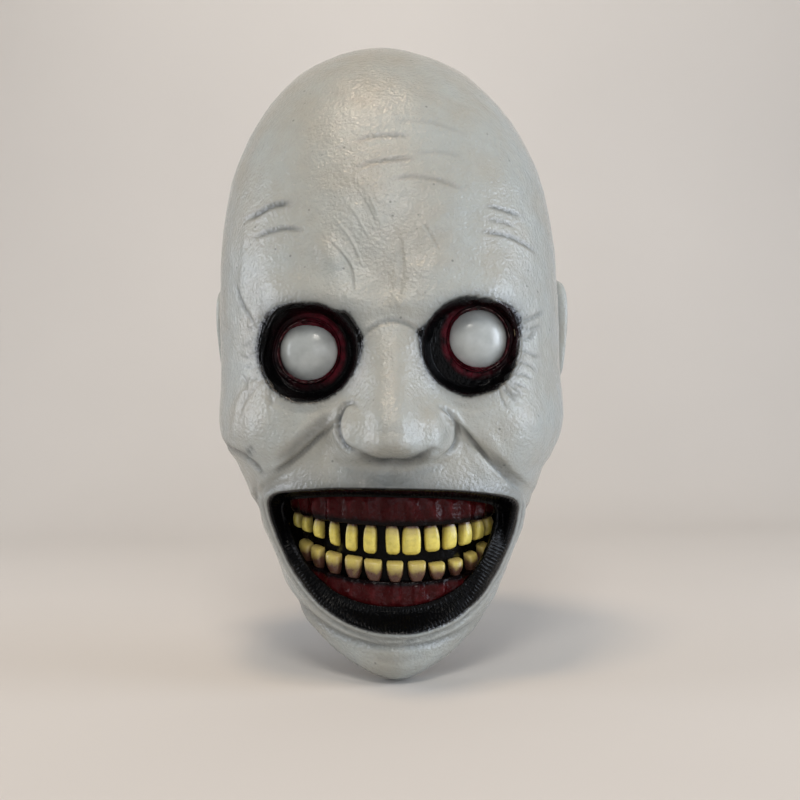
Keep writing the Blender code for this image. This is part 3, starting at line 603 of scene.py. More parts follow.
@dataclass(frozen=True)
class FaceForm:
    """The face that is raised on the plain head."""

    nose: NoseForm = NoseForm()
    sockets: SocketForm = SocketForm()
    mouth: MouthForm = MouthForm()
    front_y: float = -0.025
    rear_y: float = 0.005
    brow_level: float = 0.043
    brow_rise: float = 0.13
    brow_height: float = 0.0055
    brow_spread: float = 0.011
    brow_half_length: float = 0.066
    brow_end_fade: float = 0.016
    cheek_x: float = 0.058
    cheek_level: float = -0.01
    cheek_height: float = 0.0075
    cheek_spread: float = 0.024
    fold_start_x: float = 0.021
    fold_start_level: float = -0.0055
    fold_start_fade: float = 0.005
    fold_slope: float = 0.85
    fold_step: float = 0.0045
    fold_edge: float = 0.003
    fold_fade: float = 0.014
    chin_level: float = -0.119
    chin_height: float = 0.005
    chin_spread: float = 0.013
    jowl_level: float = -0.016
    jowl_edge: float = -0.029
    jowl_edge_tilt: float = 0.05
    jowl_edge_fade: float = 0.0035
    jowl_height: float = 0.003
    jowl_spread: float = 0.016
    jowl_depths: Pair = (-0.01, 0.045)
    jowl_reach: Pair = (0.03, 0.08)
    muzzle_level: float = -0.037
    muzzle_height: float = 0.005
    muzzle_spread: float = 0.012
    muzzle_half_width: float = 0.036
    lip_reach: float = 0.02

    def in_front(self, places: Array) -> Array:
        """Return 1 on the face, falling to 0 at the side of the head."""
        return 1.0 - smooth_step(self.front_y, self.rear_y, places[:, 1])

    def swell(self, x: Array, z: Array) -> Array:
        """Return how far brow, cheeks, muzzle, chin and nose stand out, less the step of the smile folds.

        Args:
            x: Places from side to side.
            z: Their heights.

        Returns:
            The distances out of the plain head.
        """
        wide = np.abs(x)
        brow = self.brow_height * bell(z - self.brow_level - self.brow_rise * wide, self.brow_spread)
        brow_end = self.brow_half_length + self.brow_end_fade / 2
        brow = brow * (1.0 - smooth_step(self.brow_half_length - self.brow_end_fade, brow_end, wide))
        cheek = self.cheek_height * bell(np.hypot(wide - self.cheek_x, z - self.cheek_level), self.cheek_spread)
        below = self.fold_start_level - self.fold_slope * (wide - self.fold_start_x) - z
        fold = self.fold_step * smooth_step(-self.fold_edge, self.fold_edge, below)
        fold = fold * np.exp(-np.maximum(below, 0.0) / self.fold_fade)
        fade = self.fold_start_fade
        fold = fold * smooth_step(self.fold_start_x - fade, self.fold_start_x + fade, wide)
        muzzle = self.muzzle_height * bell(x, self.muzzle_half_width)
        muzzle = muzzle * bell(z - self.muzzle_level, self.muzzle_spread)
        chin = self.chin_height * bell(np.hypot(x * 0.7, z - self.chin_level), self.chin_spread)
        return brow + cheek + muzzle + chin + self.nose.height(x, z) - fold

    def lip_bands(self, places: Array) -> tuple[Nearest, Nearest]:
        """Measure places about the lips.

        Args:
            places: Points in metres, one a row.

        Returns:
            Where they lie about the outer and about the inner lip line.
        """
        flat = self.mouth.level(places)
        lines = self.mouth.outer_lip(), self.mouth.inner_lip()
        outer, inner = (nearest_on(flat, line, True, self.lip_reach) for line in lines)
        return outer, inner

    def raised(self, places: Array) -> Array:
        """Raise the face on the plain head.

        Args:
            places: Points of the plain head, one a row.

        Returns:
            The same points on the modelled face.
        """
        front = self.in_front(places)
        x, y, z = places.T
        jowl = self.jowl_height * bell(z - self.jowl_level, self.jowl_spread)
        jowl = jowl * (1.0 - smooth_step(*self.jowl_depths, y))
        above = z - self.jowl_edge + self.jowl_edge_tilt * x
        jowl = jowl * smooth_step(-self.jowl_edge_fade, self.jowl_edge_fade, above)
        swell_x = x
        x = x + np.sign(x) * smooth_step(*self.jowl_reach, np.abs(x)) * jowl
        nose_shift = self.nose.height(x, z) - self.nose.height(swell_x, z)
        y = y - front * (self.swell(swell_x, z) + nose_shift)
        for index, (centre_x, centre_z) in enumerate(self.sockets.socket_centres):
            radius = np.hypot(x - centre_x, z - centre_z)
            outer = self.sockets.radius + self.sockets.edge
            eye_x, eye_z = self.sockets.eye_centres[index]
            about_eye = smooth_step(*self.sockets.lid_room, np.hypot(x - eye_x, z - eye_z))
            sunk = front * (1.0 - np.minimum(smooth_step(self.sockets.floor_radius, outer, radius), about_eye))
            y = y + (self.sockets.floor(index, x) - y) * sunk
        outer_lip, inner_lip = self.lip_bands(np.stack([x, y, z], 1))
        in_outer, in_inner = outer_lip.away * outer_lip.side, inner_lip.away * inner_lip.side
        mouth = self.mouth
        y = y - front * mouth.ridge * bell(in_outer, mouth.ridge_spread)
        across_band = np.clip(in_outer / np.maximum(in_outer - in_inner, TINY), 0.0, 1.0)
        turned_in = front * np.where(in_inner > 0, 1.0, smooth_step(0.0, 0.9, across_band))
        inner_half = mouth.half_width - mouth.side_band
        within = np.minimum(np.abs(x), inner_half)
        lift = mouth.corner_lift * smooth_step(0.5 * inner_half, inner_half, within)
        y = y + (mouth.arch_y(within, mouth.lip_offset) - lift - y) * turned_in
        return np.stack([x, y, z], 1)


class Mark(Enum):
    """What a sculpting tool leaves along a stroke."""

    CREASE = "a groove with softly raised banks"
    RIDGE = "a rounded ridge"


@dataclass(frozen=True)
class Stroke:
    """A sculpted line: its path in the picture's pixels, its width and height in mm, and the darker grey along it, part
    airbrushing and part painted shade in the crease.
    """

    path: Points
    width: float
    height: float
    wash: float = 0.0
    wash_width: float = 1.15
    mark: Mark = Mark.CREASE
    bank_height: float = 0.35
    bank_away: float = 2.0
    bank_width: float = 1.1
    taper: float = 0.3
    reach: float = 5.0

    def press(self, pixels: Array, scale: Array, relief: Array, wash: Array) -> None:
        """Add the stroke's relief, and the darker grey along it, which is part airbrushing and part painted shade, to
        those of the surface.

        Args:
            pixels: Where each point shows in the picture.
            scale: Millimetres a pixel there.
            relief: Heights in mm, changed here.
            wash: Shares of darker grey, part airbrushing and part painted shade, changed here.
        """
        line = spline(self.path, 6, False)
        margin = self.reach * max(self.width, self.wash_width) / float(scale.min())
        near = np.all((pixels > line.min(0) - margin) & (pixels < line.max(0) + margin), 1)
        found = nearest_on(pixels[near], line, False)
        away = found.away * scale[near]
        share = found.run / found.length
        taper = smooth_step(0.0, self.taper, share) * (1.0 - smooth_step(1.0 - self.taper, 1.0, share))
        shape = bell(away, self.width)
        if self.mark is Mark.CREASE:
            shape = self.bank_height * bell(away - self.bank_away * self.width, self.bank_width * self.width) - shape
        relief[near] += self.height * taper * shape
        # Painted shade with the airbrushing: darker grey along the crease
        wash[near] = np.maximum(wash[near], self.wash * taper * bell(away, self.wash_width))


@dataclass(frozen=True)
class Bulge:
    """A soft swelling: its middle, radii and turn in the picture, and its height in mm."""

    centre: Pair
    radii: Pair
    turn: float
    height: float

    def at(self, pixels: Array) -> Array:
        """Return its height in mm.

        Args:
            pixels: Where points show in the picture.

        Returns:
            The heights there.
        """
        turn = math.radians(self.turn)
        x, y = (pixels - self.centre).T
        along, across = x * math.cos(turn) + y * math.sin(turn), y * math.cos(turn) - x * math.sin(turn)
        return self.height * np.exp(-((along / self.radii[0]) ** 2) - (across / self.radii[1]) ** 2)


@dataclass(frozen=True)
class Fan:
    """Fine wrinkles that spread from a round edge: angles are in degrees, counted up from the picture's right."""

    centre: Pair
    radii: Pair
    angles: Pair
    count: int
    height: float
    wash: float
    phase: float
    start_fade: Pair = (8.0, 4.0)
    end_share: float = 0.5
    side_share: float = 0.7

    def press(self, pixels: Array, relief: Array, wash: Array) -> None:
        """Add the wrinkles to those of the surface.

        Args:
            pixels: Where each point shows in the picture.
            relief: Heights in mm, changed here.
            wash: Shares of darker grey, part airbrushing and part painted shade, changed here.
        """
        x, y = (pixels - self.centre).T
        radius = np.hypot(x, y)
        angle = np.degrees(from_heading(np.arctan2(-y, x), math.radians(sum(self.angles) / 2)))
        half = (self.angles[1] - self.angles[0]) / 2
        start, end = self.radii
        window = smooth_step(start - self.start_fade[0], start + self.start_fade[1], radius)
        window = window * (1.0 - smooth_step(start + self.end_share * (end - start), end, radius))
        window = window * (1.0 - smooth_step(self.side_share * half, half, np.abs(angle)))
        # The wrinkles wander along their way out, and from one to the next
        wander = 1.3 * np.sin(radius / 6.0 + self.phase + angle / 9.0) + 2.2 * np.sin(angle / 12.0 + self.phase)
        wave = np.cos(math.pi * self.count * angle / half + wander)
        groove = np.clip(wave, 0.0, 1.0) ** 2
        relief += self.height * window * (0.4 - groove)
        # Painted shade with the airbrushing: darker grey in the wrinkles' grooves
        np.maximum(wash, self.wash * window * groove, out=wash)


@dataclass(frozen=True)
class FaceSculpt:
    """Everything that was pressed, carved and airbrushed into the face after its main form, with painted shade in its
    creases and hollows.
    """

    # After its width and height, a stroke gives its darker grey and that grey's width in mm: part airbrushing, part
    # painted shade in the crease and under the nose
    strokes: tuple[Stroke, ...] = (
        # Lines across the forehead
        Stroke(((350, 142.5), (374, 136.5), (391, 135.5), (414, 135)), 0.7, 0.62, 0.36),
        Stroke(((383, 117), (406, 120), (430, 122), (455, 130), (478, 141)), 0.8, 0.3, 0.1),
        Stroke(((348, 169.5), (374, 162.5), (395, 159.5), (422, 158)), 0.7, 0.58, 0.34),
        Stroke(((408, 154), (438, 152), (468, 158)), 0.7, 0.3, 0.12),
        Stroke(((380, 181), (405, 177), (423, 177.5), (442, 181.5), (470, 192)), 0.7, 0.45, 0.24),
        # Lines at the temples
        Stroke(((240, 224), (262, 212), (274, 206.5), (297, 202)), 0.9, 0.85, 0.58, 1.5),
        Stroke(((248, 241), (270, 232), (286, 229), (308, 231)), 0.8, 0.7, 0.48, 1.2),
        Stroke(((482, 206), (500, 209), (525, 218)), 0.7, 0.62, 0.44),
        Stroke(((483, 219), (502, 222.5), (519, 228)), 0.7, 0.45, 0.3),
        Stroke(((474, 231), (500, 234.5), (520, 242), (541, 257)), 0.8, 0.66, 0.44),
        Stroke(((251, 214), (246, 238), (245, 262), (243, 285), (246, 312)), 1.7, 0.55, mark=Mark.RIDGE),
        # Frown between the brows
        Stroke(((316, 229), (334, 246), (345, 258), (352, 272), (355, 298)), 0.5, 0.42, 0.2, 0.6),
        Stroke(((331, 214), (345, 231), (355, 247), (363, 268)), 0.6, 0.45, mark=Mark.RIDGE),
        Stroke(((349, 175), (364, 188), (373, 204), (382, 228)), 0.6, 0.42, mark=Mark.RIDGE),
        Stroke(((354, 188), (367, 205), (378, 230)), 0.6, 0.25, 0.1, 0.8),
        Stroke(((343, 198), (357, 216), (371, 242)), 0.6, 0.32, mark=Mark.RIDGE),
        Stroke(((418, 214), (431, 236), (443, 258)), 0.7, 0.3, 0.1, 0.8),
        Stroke(((396, 222), (402, 258), (401, 282), (396, 308)), 1.3, 0.3, 0.06, 1.5),
        # Crease round the top of the nose
        Stroke(
            ((354, 352), (366, 333), (378, 324.5), (391, 321), (405, 323), (416, 330), (428, 346)),
            0.9, 1.05, 0.36,
        ),
        # Wings and underside of the nose
        Stroke(
            ((362, 412), (354, 404), (346, 405), (341, 413), (338.5, 426), (340.5, 438), (349, 448), (366, 453)),
            0.9, 1.35, 0.6, 1.5,
        ),
        Stroke(
            ((431, 404), (444, 409), (454, 419), (458, 431), (455, 444), (446, 455), (436, 459)), 0.9, 1.15, 0.46, 1.3,
        ),
        Stroke(
            ((343, 446), (360, 454), (377, 460.5), (392, 462), (409, 461), (424, 455), (434, 450), (448, 456)),
            1.1, 1.1, 0.6, 2.2,
        ),
        # Smile folds, each a sharp line below a soft shaded bank, and the lower edges of the cheeks
        Stroke(((345, 409), (328, 420), (310, 435), (291, 452), (270, 469)), 2.4, 0.45, 0.4, 3.0),
        Stroke(((344, 416), (322, 435), (302, 453), (284, 467), (258, 478)), 0.9, 1.25, 0.52, 1.1),
        Stroke(((350, 398), (330, 409), (310, 424), (288, 443)), 2.0, 0.7, mark=Mark.RIDGE),
        Stroke(
            ((450, 410), (462, 428), (476, 445), (490, 461), (507, 478), (530, 499)),
            0.9, 1.25, 0.48, 1.2,
        ),
        Stroke(((486, 452), (500, 466), (514, 480), (526, 494)), 2.2, 0.35, 0.34, 2.8),
        Stroke(((458, 432), (468, 450), (480, 467), (497, 482)), 1.2, 0.45, mark=Mark.RIDGE),
        Stroke(((214, 437), (234, 450), (248, 457), (258, 466), (266, 482)), 1.0, 1.3, 0.62),
        Stroke(((243, 460), (249, 452), (255, 446)), 0.8, 1.1, 0.6),
        Stroke(((244, 450), (252, 455), (258, 464), (266, 474)), 0.8, 0.7, mark=Mark.RIDGE),
        # Crinkled edge of the left cheekbone and crow's feet
        Stroke(((257, 370), (248, 387), (240, 401), (236, 416), (235, 434), (239, 450)), 1.1, 0.75, mark=Mark.RIDGE),
        Stroke(((262, 376), (252, 392), (244, 406), (241, 420)), 0.8, 0.4, 0.2),
        Stroke(((234, 280), (243, 305), (258, 332)), 0.8, 0.6, 0.4),
        Stroke(((238, 372), (247, 384), (245, 404)), 0.8, 0.45, 0.2),
        Stroke(((519, 322), (532, 318), (546, 310)), 0.8, 0.55, 0.4),
        Stroke(((520, 331), (530, 329), (543, 325)), 0.7, 0.5, 0.36),
        Stroke(((500, 384), (507, 392), (518, 404)), 0.8, 0.6, 0.36),
        Stroke(((506, 380), (514, 388), (524, 397)), 0.7, 0.5, 0.3),
        # Folds under the lower lip, beside the chin and along the jaw
        Stroke(
            ((256, 500), (268, 552), (291, 594), (325, 626), (360, 642), (396, 646), (436, 642), (474, 622),
             (508, 584)),
            1.1, 1.1, 0.4, 2.0,
        ),
        Stroke(((362, 655), (396, 660), (434, 655)), 1.3, 0.5, 0.14),
        Stroke(((254, 462), (257, 505), (267, 556), (287, 602), (318, 640)), 1.1, 1.1, 0.56, 1.8),
        Stroke(((525, 490), (527, 512), (521, 540), (508, 572)), 1.0, 0.8, 0.38),
        Stroke(((263, 512), (265, 495), (270, 485), (282, 479), (300, 477)), 1.1, 0.9, mark=Mark.RIDGE),
        Stroke(((521, 512), (520, 499), (514, 491), (500, 485)), 1.1, 0.8, mark=Mark.RIDGE),
        # Bags below the eyes
        Stroke(((256, 384), (276, 404), (304, 413), (332, 407), (352, 389)), 1.1, 0.4, 0.12),
        Stroke(((432, 387), (454, 404), (478, 408), (504, 399)), 1.1, 0.4, 0.12),
    )
    bulges: tuple[Bulge, ...] = (
        Bulge((330, 256), (22, 13), 62, 2.2),
        Bulge((434, 268), (26, 14), -22, 2.2),
        Bulge((386, 294), (20, 22), 0, -1.8),
        Bulge((284, 262), (42, 18), 6, 0.9),
        Bulge((494, 262), (36, 17), -6, 0.9),
        Bulge((250, 420), (18, 26), 0, 0.9),
        Bulge((527, 430), (18, 28), 0, 1.1),
        Bulge((304, 434), (26, 10), -38, 0.8),
        Bulge((488, 438), (20, 9), 44, 0.8),
        Bulge((350, 470), (18, 9), -14, 0.9),
        Bulge((430, 472), (18, 9), 14, 0.9),
        Bulge((391, 470), (7, 12), 0, -0.7),
        Bulge((401, 303), (9, 7), 0, 0.7),
    )
    fans: tuple[Fan, ...] = (
        Fan((311, 352), (51, 74), (122, 246), 9, 0.5, 0.34, 0.4),
        Fan((470, 348), (50, 74), (-72, 44), 10, 0.55, 0.38, 1.9),
    )
    left_socket: Points = (
        (263, 320), (275, 308), (295, 303), (314, 304), (328, 308.5), (337, 310.5), (344, 311), (349.5, 315),
        (355, 323), (361.5, 335), (362, 348), (357, 366), (343, 386), (327, 398), (310, 402), (291, 400),
        (274, 390), (262, 372), (257, 352), (259, 335),
    )
    right_socket: Points = (
        (418, 331), (425, 325), (436, 315), (447, 308.5), (465, 303), (485, 300.5), (506, 304), (518, 314), (520, 332),
        (516, 354), (506, 376), (488, 391), (468, 396), (446, 387), (430, 374), (422, 356), (419, 340),
    )


@dataclass
class Paint:
    """What the painter left on each point of the skin, with the painted shade that darkens its creases and hollows."""

    black: Array
    edge_place: Array
    wash: Array
    red: Array
    fray: Array


class Coat(IntEnum):
    """The skin's finishes, by their number in its meshes."""

    PAINTED = 0
    RAW = 1
    BLACK = 2


@dataclass(frozen=True)
class Window:
    """A part of the picture, by its edges in pixels."""

    left: float
    right: float
    top: float
    bottom: float

    def holds(self, pixels: Array) -> Array:
        """Say which pixels lie in it."""
        x, y = pixels.T
        return (x > self.left) & (x < self.right) & (y > self.top) & (y < self.bottom)


@dataclass
class LatexSkin:
    """The cast latex skin: a dense sculpted outside, a plain inside, and two pieces that open at the back."""

    head: HeadForm
    face: FaceForm
    sculpt: FaceSculpt
    view: PhotoView
    wall: float = 0.0022
    face_padding: float = 0.0008
    rows: int = 76
    slit_row: int = 48
    front_columns: int = 72
    rear_columns: int = 32
    first_station: float = 0.012
    patch_way: float = 1.5
    slit_top_gap: float = 0.004
    slit_hem_gap: float = 0.009
    slit_end_share: float = 0.06
    fold_way: float = 1.53
    bend_width: float = 0.014
    rim_sharp: float = 75.0
    inner_lip_fade: float = 0.006
    # Where the sheet is made finer: parts of the picture, each as far back as its depth
    face_depth: float = -0.012
    face_top_px: float = 98.0
    detail_depth: float = -0.03
    eye_window: Window = Window(236, 544, 200, 416)
    line_window: Window = Window(336, 478, 112, 200)
    grin_centre_px: Pair = (391.0, 520.0)
    grin_radii_px: Pair = (142.0, 140.0)
    fine_depth: float = -0.035
    frown_window: Window = Window(332, 436, 198, 302)
    wing_window: Window = Window(332, 464, 398, 464)
    fine_lip_margins: Pair = (0.0022, 0.0012)
    fine_rim_radii: Pair = (0.017, 0.0255)
    hollow_window: Window = Window(246, 532, 292, 480)
    # The cast surface's lumps: their height, and the size, strength and seed of each kind
    lump: float = 0.00035
    lump_kinds: Table = ((0.011, 1.0, 0.0), (0.0045, 0.5, 7.0), (0.0024, 0.08, 13.0))
    # Fine lines across the lips: how they wander (by how much, in which lengths) and break off along and across
    lip_line_spacing: float = 0.0017
    lip_line_depth: float = 0.00045
    lip_line_fades: Pair = (0.0022, 0.002)
    lip_line_wander: Pair = (2.2, 0.0061)
    lip_line_breaks: Triple = (0.0037, 0.0101, 0.0007225)
    # Two rims below the mouth and the groove between them: height, distance from the lip line and spread
    lip_rims: Table = (
        (0.0011, 0.0012, 0.0009), (0.0006, 0.0046, 0.001), (-0.0005, 0.003, 0.0008)
    )
    lip_rim_fade: float = 0.012
    # The lips' paint: how far it goes over their line, its raggedness, and the darker grey about it, part airbrushing
    # and part painted shade (strength and reach)
    lip_paint_over: float = 0.0002
    lip_fray: float = 0.06
    halo_above: Pair = (0.55, 0.0055)
    halo_below: Pair = (0.35, 0.002)
    groove_wash: Triple = (0.45, 0.0031, 0.0007)
    # The sockets' paint: the darker grey about it, part airbrushing and part painted shade (strength and reach in mm),
    # and its edge, which is most ragged at one side
    socket_reach_px: float = 45.0
    lid_overlap: float = 0.0004
    socket_wash: Pair = (0.62, 2.2)
    edge_mm_per_px: float = 0.45
    loose_brush: float = -60.0
    loose_span: Pair = (-0.3, 0.8)
    socket_fray: Pair = (0.55, 0.45)
    least_red: float = 0.12
    red_span: Pair = (-0.2, 0.9)
    red_end: Pair = (0.0168, 0.0198)
    full_black: float = 0.2
    ragged_black: float = 0.3
    # Wrinkles in rings round the eyes
    ring_spacing: float = 0.0017
    ring_depth: float = 0.00042
    ring_wander: Pair = (1.4, 0.8)
    ring_start: Pair = (0.016, 0.0172)
    ring_end: Pair = (0.0215, 0.024)

    def sheet(self, coarser: int) -> BMesh:
        """Return the skin as a flat sheet.

        Args:
            coarser: How many times fewer cells than the outside it has each way.

        Returns:
            The sheet, whose x is the way round the head and y the station.
        """
        rear, front = self.rear_columns // coarser, self.front_columns // coarser
        left = np.linspace(-2.0, -1.0, rear + 1)[:-1]
        right = np.linspace(1.0, 2.0, rear + 1)[1:]
        ways = np.concatenate([left, np.linspace(-1.0, 1.0, front + 1), right])
        stations = self.stations()[::coarser]
        bm = bmesh.new()
        grid = [[bm.verts.new((way, station, 0.0)) for way in ways] for station in stations]
        for upper, lower in zip(grid, grid[1:]):
            for i in range(len(ways) - 1):
                bm.faces.new((upper[i], lower[i], lower[i + 1], upper[i + 1]))
        return bm

    def stations(self) -> Array:
        """Return the stations of the rows."""
        return np.linspace(self.first_station, self.head.hem_station, self.rows + 1)

    def plain(self, flat: Array) -> Array:
        """Map the flat sheet to the modelled head.

        Args:
            flat: Points of the flat sheet, one a row.

        Returns:
            The head's points.
        """
        way, station = flat[:, 0], flat[:, 1]
        across, in_front = self.head.across(way)
        start, hem = self.stations()[self.slit_row], self.head.hem_station
        share = np.clip((station - start) / (hem - start), 0.0, 1.0)
        gap = self.slit_top_gap + (self.slit_hem_gap - self.slit_top_gap) * share
        gap = gap / 2 * np.sqrt(np.clip(share / self.slit_end_share, 0.0, 1.0))
        slit = np.where(in_front, 0.0, gap / np.maximum(self.head.guides(station)[4], MM))
        side = np.where(way < 0, -1.0, 1.0)
        across = np.where(in_front, across, side * (slit + np.abs(across) * (1.0 - slit)))
        return self.face.raised(self.head.surface(station, across, in_front))

    def refine(self, bm: BMesh, wanted: Callable[[Array, Array], Array]) -> None:
        """Halve the cells of the flat sheet where they are wanted finer.

        Args:
            bm: The flat sheet.
            wanted: Says for places and their pixels which are wanted finer.
        """
        bm.faces.ensure_lookup_table()
        middles = np.array([face.calc_center_median() for face in bm.faces])
        places = self.plain(middles)
        chosen = np.flatnonzero(wanted(places, self.view.project(places)))
        edges = {edge for i in chosen for edge in bm.faces[i].edges}
        bmesh.ops.subdivide_edges(bm, edges=list(edges), cuts=1, use_grid_fill=True)

    def on_face(self, places: Array, pixels: Array) -> Array:
        """Say which places are on the face."""
        return (places[:, 1] < self.face_depth) & (pixels[:, 1] > self.face_top_px)

    def in_detail(self, places: Array, pixels: Array) -> Array:
        """Say which places carry sculpted detail.

        Args:
            places: Points of the modelled head.
            pixels: Where they show in the picture.

        Returns:
            One truth value for each.
        """
        grin = np.hypot(*((pixels - self.grin_centre_px) / self.grin_radii_px).T) < 1.0
        shown = self.eye_window.holds(pixels) | self.line_window.holds(pixels) | grin
        return (places[:, 1] < self.detail_depth) & shown

    def in_fine_detail(self, places: Array, pixels: Array) -> Array:
        """Say which places carry the finest wrinkles: lips, socket edges, nose wings and the frown.

        Args:
            places: Points of the modelled head.
            pixels: Where they show in the picture.

        Returns:
            One truth value for each.
        """
        outer, inner = self.face.lip_bands(places)
        outside, within = self.fine_lip_margins
        fine = (outer.away * outer.side > -outside) & (inner.away * inner.side < within)
        least, most = self.fine_rim_radii
        for x, z in self.face.sockets.socket_centres:
            radius = np.hypot(places[:, 0] - x, places[:, 2] - z)
            fine |= (radius > least) & (radius < most)
        fine |= self.frown_window.holds(pixels) | self.wing_window.holds(pixels)
        return (places[:, 1] < self.fine_depth) & fine

    def in_hollows(self, places: Array, pixels: Array) -> Array:
        """Say which places of the inside follow the eye sockets and the nose."""
        return (places[:, 1] < self.detail_depth) & self.hollow_window.holds(pixels)

    def cut_hole(self, bm: BMesh, inside: Callable[[Array], Array]) -> None:
        """Cut a hole in the flat sheet.

        Args:
            bm: The flat sheet.
            inside: Gives for places how far they lie inside the hole, negative outside it.
        """
        layer = bm.verts.layers.float.get("hole") or bm.verts.layers.float.new("hole")
        values = inside(self.plain(np.array([vert.co for vert in bm.verts])))
        for vert, value in zip(bm.verts, values):
            vert[layer] = value if abs(value) > TINY / 100 else TINY / 100
        made = []
        for edge in [e for e in bm.edges if e.verts[0][layer] * e.verts[1][layer] < 0.0]:
            start = edge.verts[0]
            share = start[layer] / (start[layer] - edge.other_vert(start)[layer])
            _, vert = bmesh.utils.edge_split(edge, start, share)
            vert[layer] = 0.0
            made.append(vert)
        bmesh.ops.connect_verts(bm, verts=made)
        gone = [face for face in bm.faces if max(vert[layer] for vert in face.verts) > 0.0]
        bmesh.ops.delete(bm, geom=gone, context="FACES")

    def cut_holes(self, bm: BMesh) -> None:
        """Open the flat sheet at the mouth and the eyes.

        Args:
            bm: The flat sheet.
        """

        def mouth(places: Array) -> Array:
            """Return how far places lie inside the mouth."""
            found = self.face.lip_bands(places)[1]
            return np.where(places[:, 1] < self.face.front_y, found.away * found.side, -1.0)

        def eye(index: int, places: Array) -> Array:
            """Return how far places lie inside an eye's opening."""
            within = self.face.sockets.opening_radius - self.face.sockets.from_axis(index, places)[0]
            return np.where(places[:, 1] < self.face.front_y, within, -1.0)

        for hole in (mouth, partial(eye, 0), partial(eye, 1)):
            self.cut_hole(bm, hole)

    def stand_up(self, bm: BMesh) -> Array:
        """Turn the flat sheet into the modelled head, still open at the crown and all down the back.

        Args:
            bm: The flat sheet, which keeps its own coordinates in the layers way and station.

        Returns:
            The places of its vertices.
        """
        bm.verts.index_update()
        flat = np.array([vert.co for vert in bm.verts])
        way = bm.verts.layers.float.new("way")
        station = bm.verts.layers.float.new("station")
        for vert, (a, b, _) in zip(bm.verts, flat):
            vert[way], vert[station] = a, b
        places = self.plain(flat)
        for vert, place in zip(bm.verts, places):
            vert.co = place
        return places

    def close_crown(self, bm: BMesh) -> None:
        """Join the sheet's two ends above the slit, and fill the crown.

        Args:
            bm: The sheet, stood up.
        """
        way, station = bm.verts.layers.float["way"], bm.verts.layers.float["station"]
        start = self.stations()[self.slit_row] + TINY
        ends = {}
        for vert in bm.verts:
            if abs(abs(vert[way]) - 2.0) < TINY and vert[station] < start:
                ends.setdefault(round(vert[station], 6), []).append(vert)
        bmesh.ops.weld_verts(bm, targetmap={pair[1]: pair[0] for pair in ends.values() if len(pair) == 2})
        first = self.first_station + TINY
        ring = [e for e in bm.edges if e.is_boundary and all(v[station] < first for v in e.verts)]
        crown = bm.verts.new((self.head.crown_lean, self.head.crown_y, self.head.crown_height))
        for layer in bm.verts.layers.float.values():
            crown[layer] = ring[0].verts[0][layer]
        crown[way], crown[station] = 0.0, 0.0
        for edge in ring:
            loop = edge.link_loops[0]
            bm.faces.new((loop.link_loop_next.vert, loop.vert, crown))

    def relief(self, places: Array, pixels: Array) -> tuple[Array, Paint]:
        """Work out the sculpted relief and the paint.

        Args:
            places: Points of the modelled head.
            pixels: Where they show in the picture.

        Returns:
            Heights in metres along the surface's normal, and the paint.
        """
        scale, front = self.view.mm_per_px(places), self.face.in_front(places)
        count, shown = len(places), front > 0.5
        height, wash = np.zeros(count), np.zeros(count)
        for stroke in self.sculpt.strokes:
            stroke.press(pixels, scale, height, wash)
        for bulge in self.sculpt.bulges:
            height += bulge.at(pixels)
        for fan in self.sculpt.fans:
            fan.press(pixels, height, wash)
        height *= front * MM
        paint = Paint(
            np.zeros(count), np.zeros((count, 3)), wash * front, np.zeros(count), np.full(count, self.lip_fray)
        )
        height += front * self.paint_lips(places, shown, paint)
        for index in range(len(SIDES)):
            height += front * self.paint_socket(index, places, shown, paint)
        paint.wash = np.clip(paint.wash, 0.0, 1.0)
        return height, paint

    def paint_lips(self, places: Array, shown: Array, paint: Paint) -> Array:
        """Paint the lips black, with darker grey about them, part airbrushing and part painted shade.

        Args:
            places: Points of the modelled head.
            shown: Which of them are on its front.
            paint: The paint, changed here.

        Returns:
            The relief of the lips' lines and of the rims below them.
        """
        outer, inner = self.face.lip_bands(places)
        in_outer, in_inner = outer.away * outer.side, inner.away * inner.side
        below = smooth_step(0.0, self.lip_rim_fade, self.face.mouth.top - self.face.mouth.level(places)[:, 1])
        # Painted shade with the airbrushing: darker grey above the lips, a thinner band below them, and more in the
        # groove under the lower lip
        strength, reach = (above + (under - above) * below for above, under in zip(self.halo_above, self.halo_below))
        halo = strength * np.exp(-np.maximum(-in_outer, 0.0) / reach)
        strength, out, spread = self.groove_wash
        halo = np.maximum(halo, strength * below * bell(in_outer + out, spread))
        paint.wash = np.maximum(paint.wash, np.where(shown, halo, 0.0))
        paint.black = np.where(shown, (in_outer + self.lip_paint_over) / MM, NO_BLACK)
        paint.edge_place[:, ::2] = outer.place
        start, end = self.lip_line_fades
        lined = smooth_step(0.0, start, in_outer) * (1.0 - smooth_step(-end, 0.0, in_inner))
        wander, length = self.lip_line_wander
        line = np.cos(2 * math.pi * outer.run / self.lip_line_spacing + wander * np.sin(outer.run / length))
        first, second, across = self.lip_line_breaks
        uneven = 0.6 + 0.4 * np.sin(outer.run / first) * np.sin(outer.run / second + in_outer / across)
        rims = sum(height * bell(in_outer + out, spread) for height, out, spread in self.lip_rims)
        return lined * self.lip_line_depth * line * uneven + below * rims

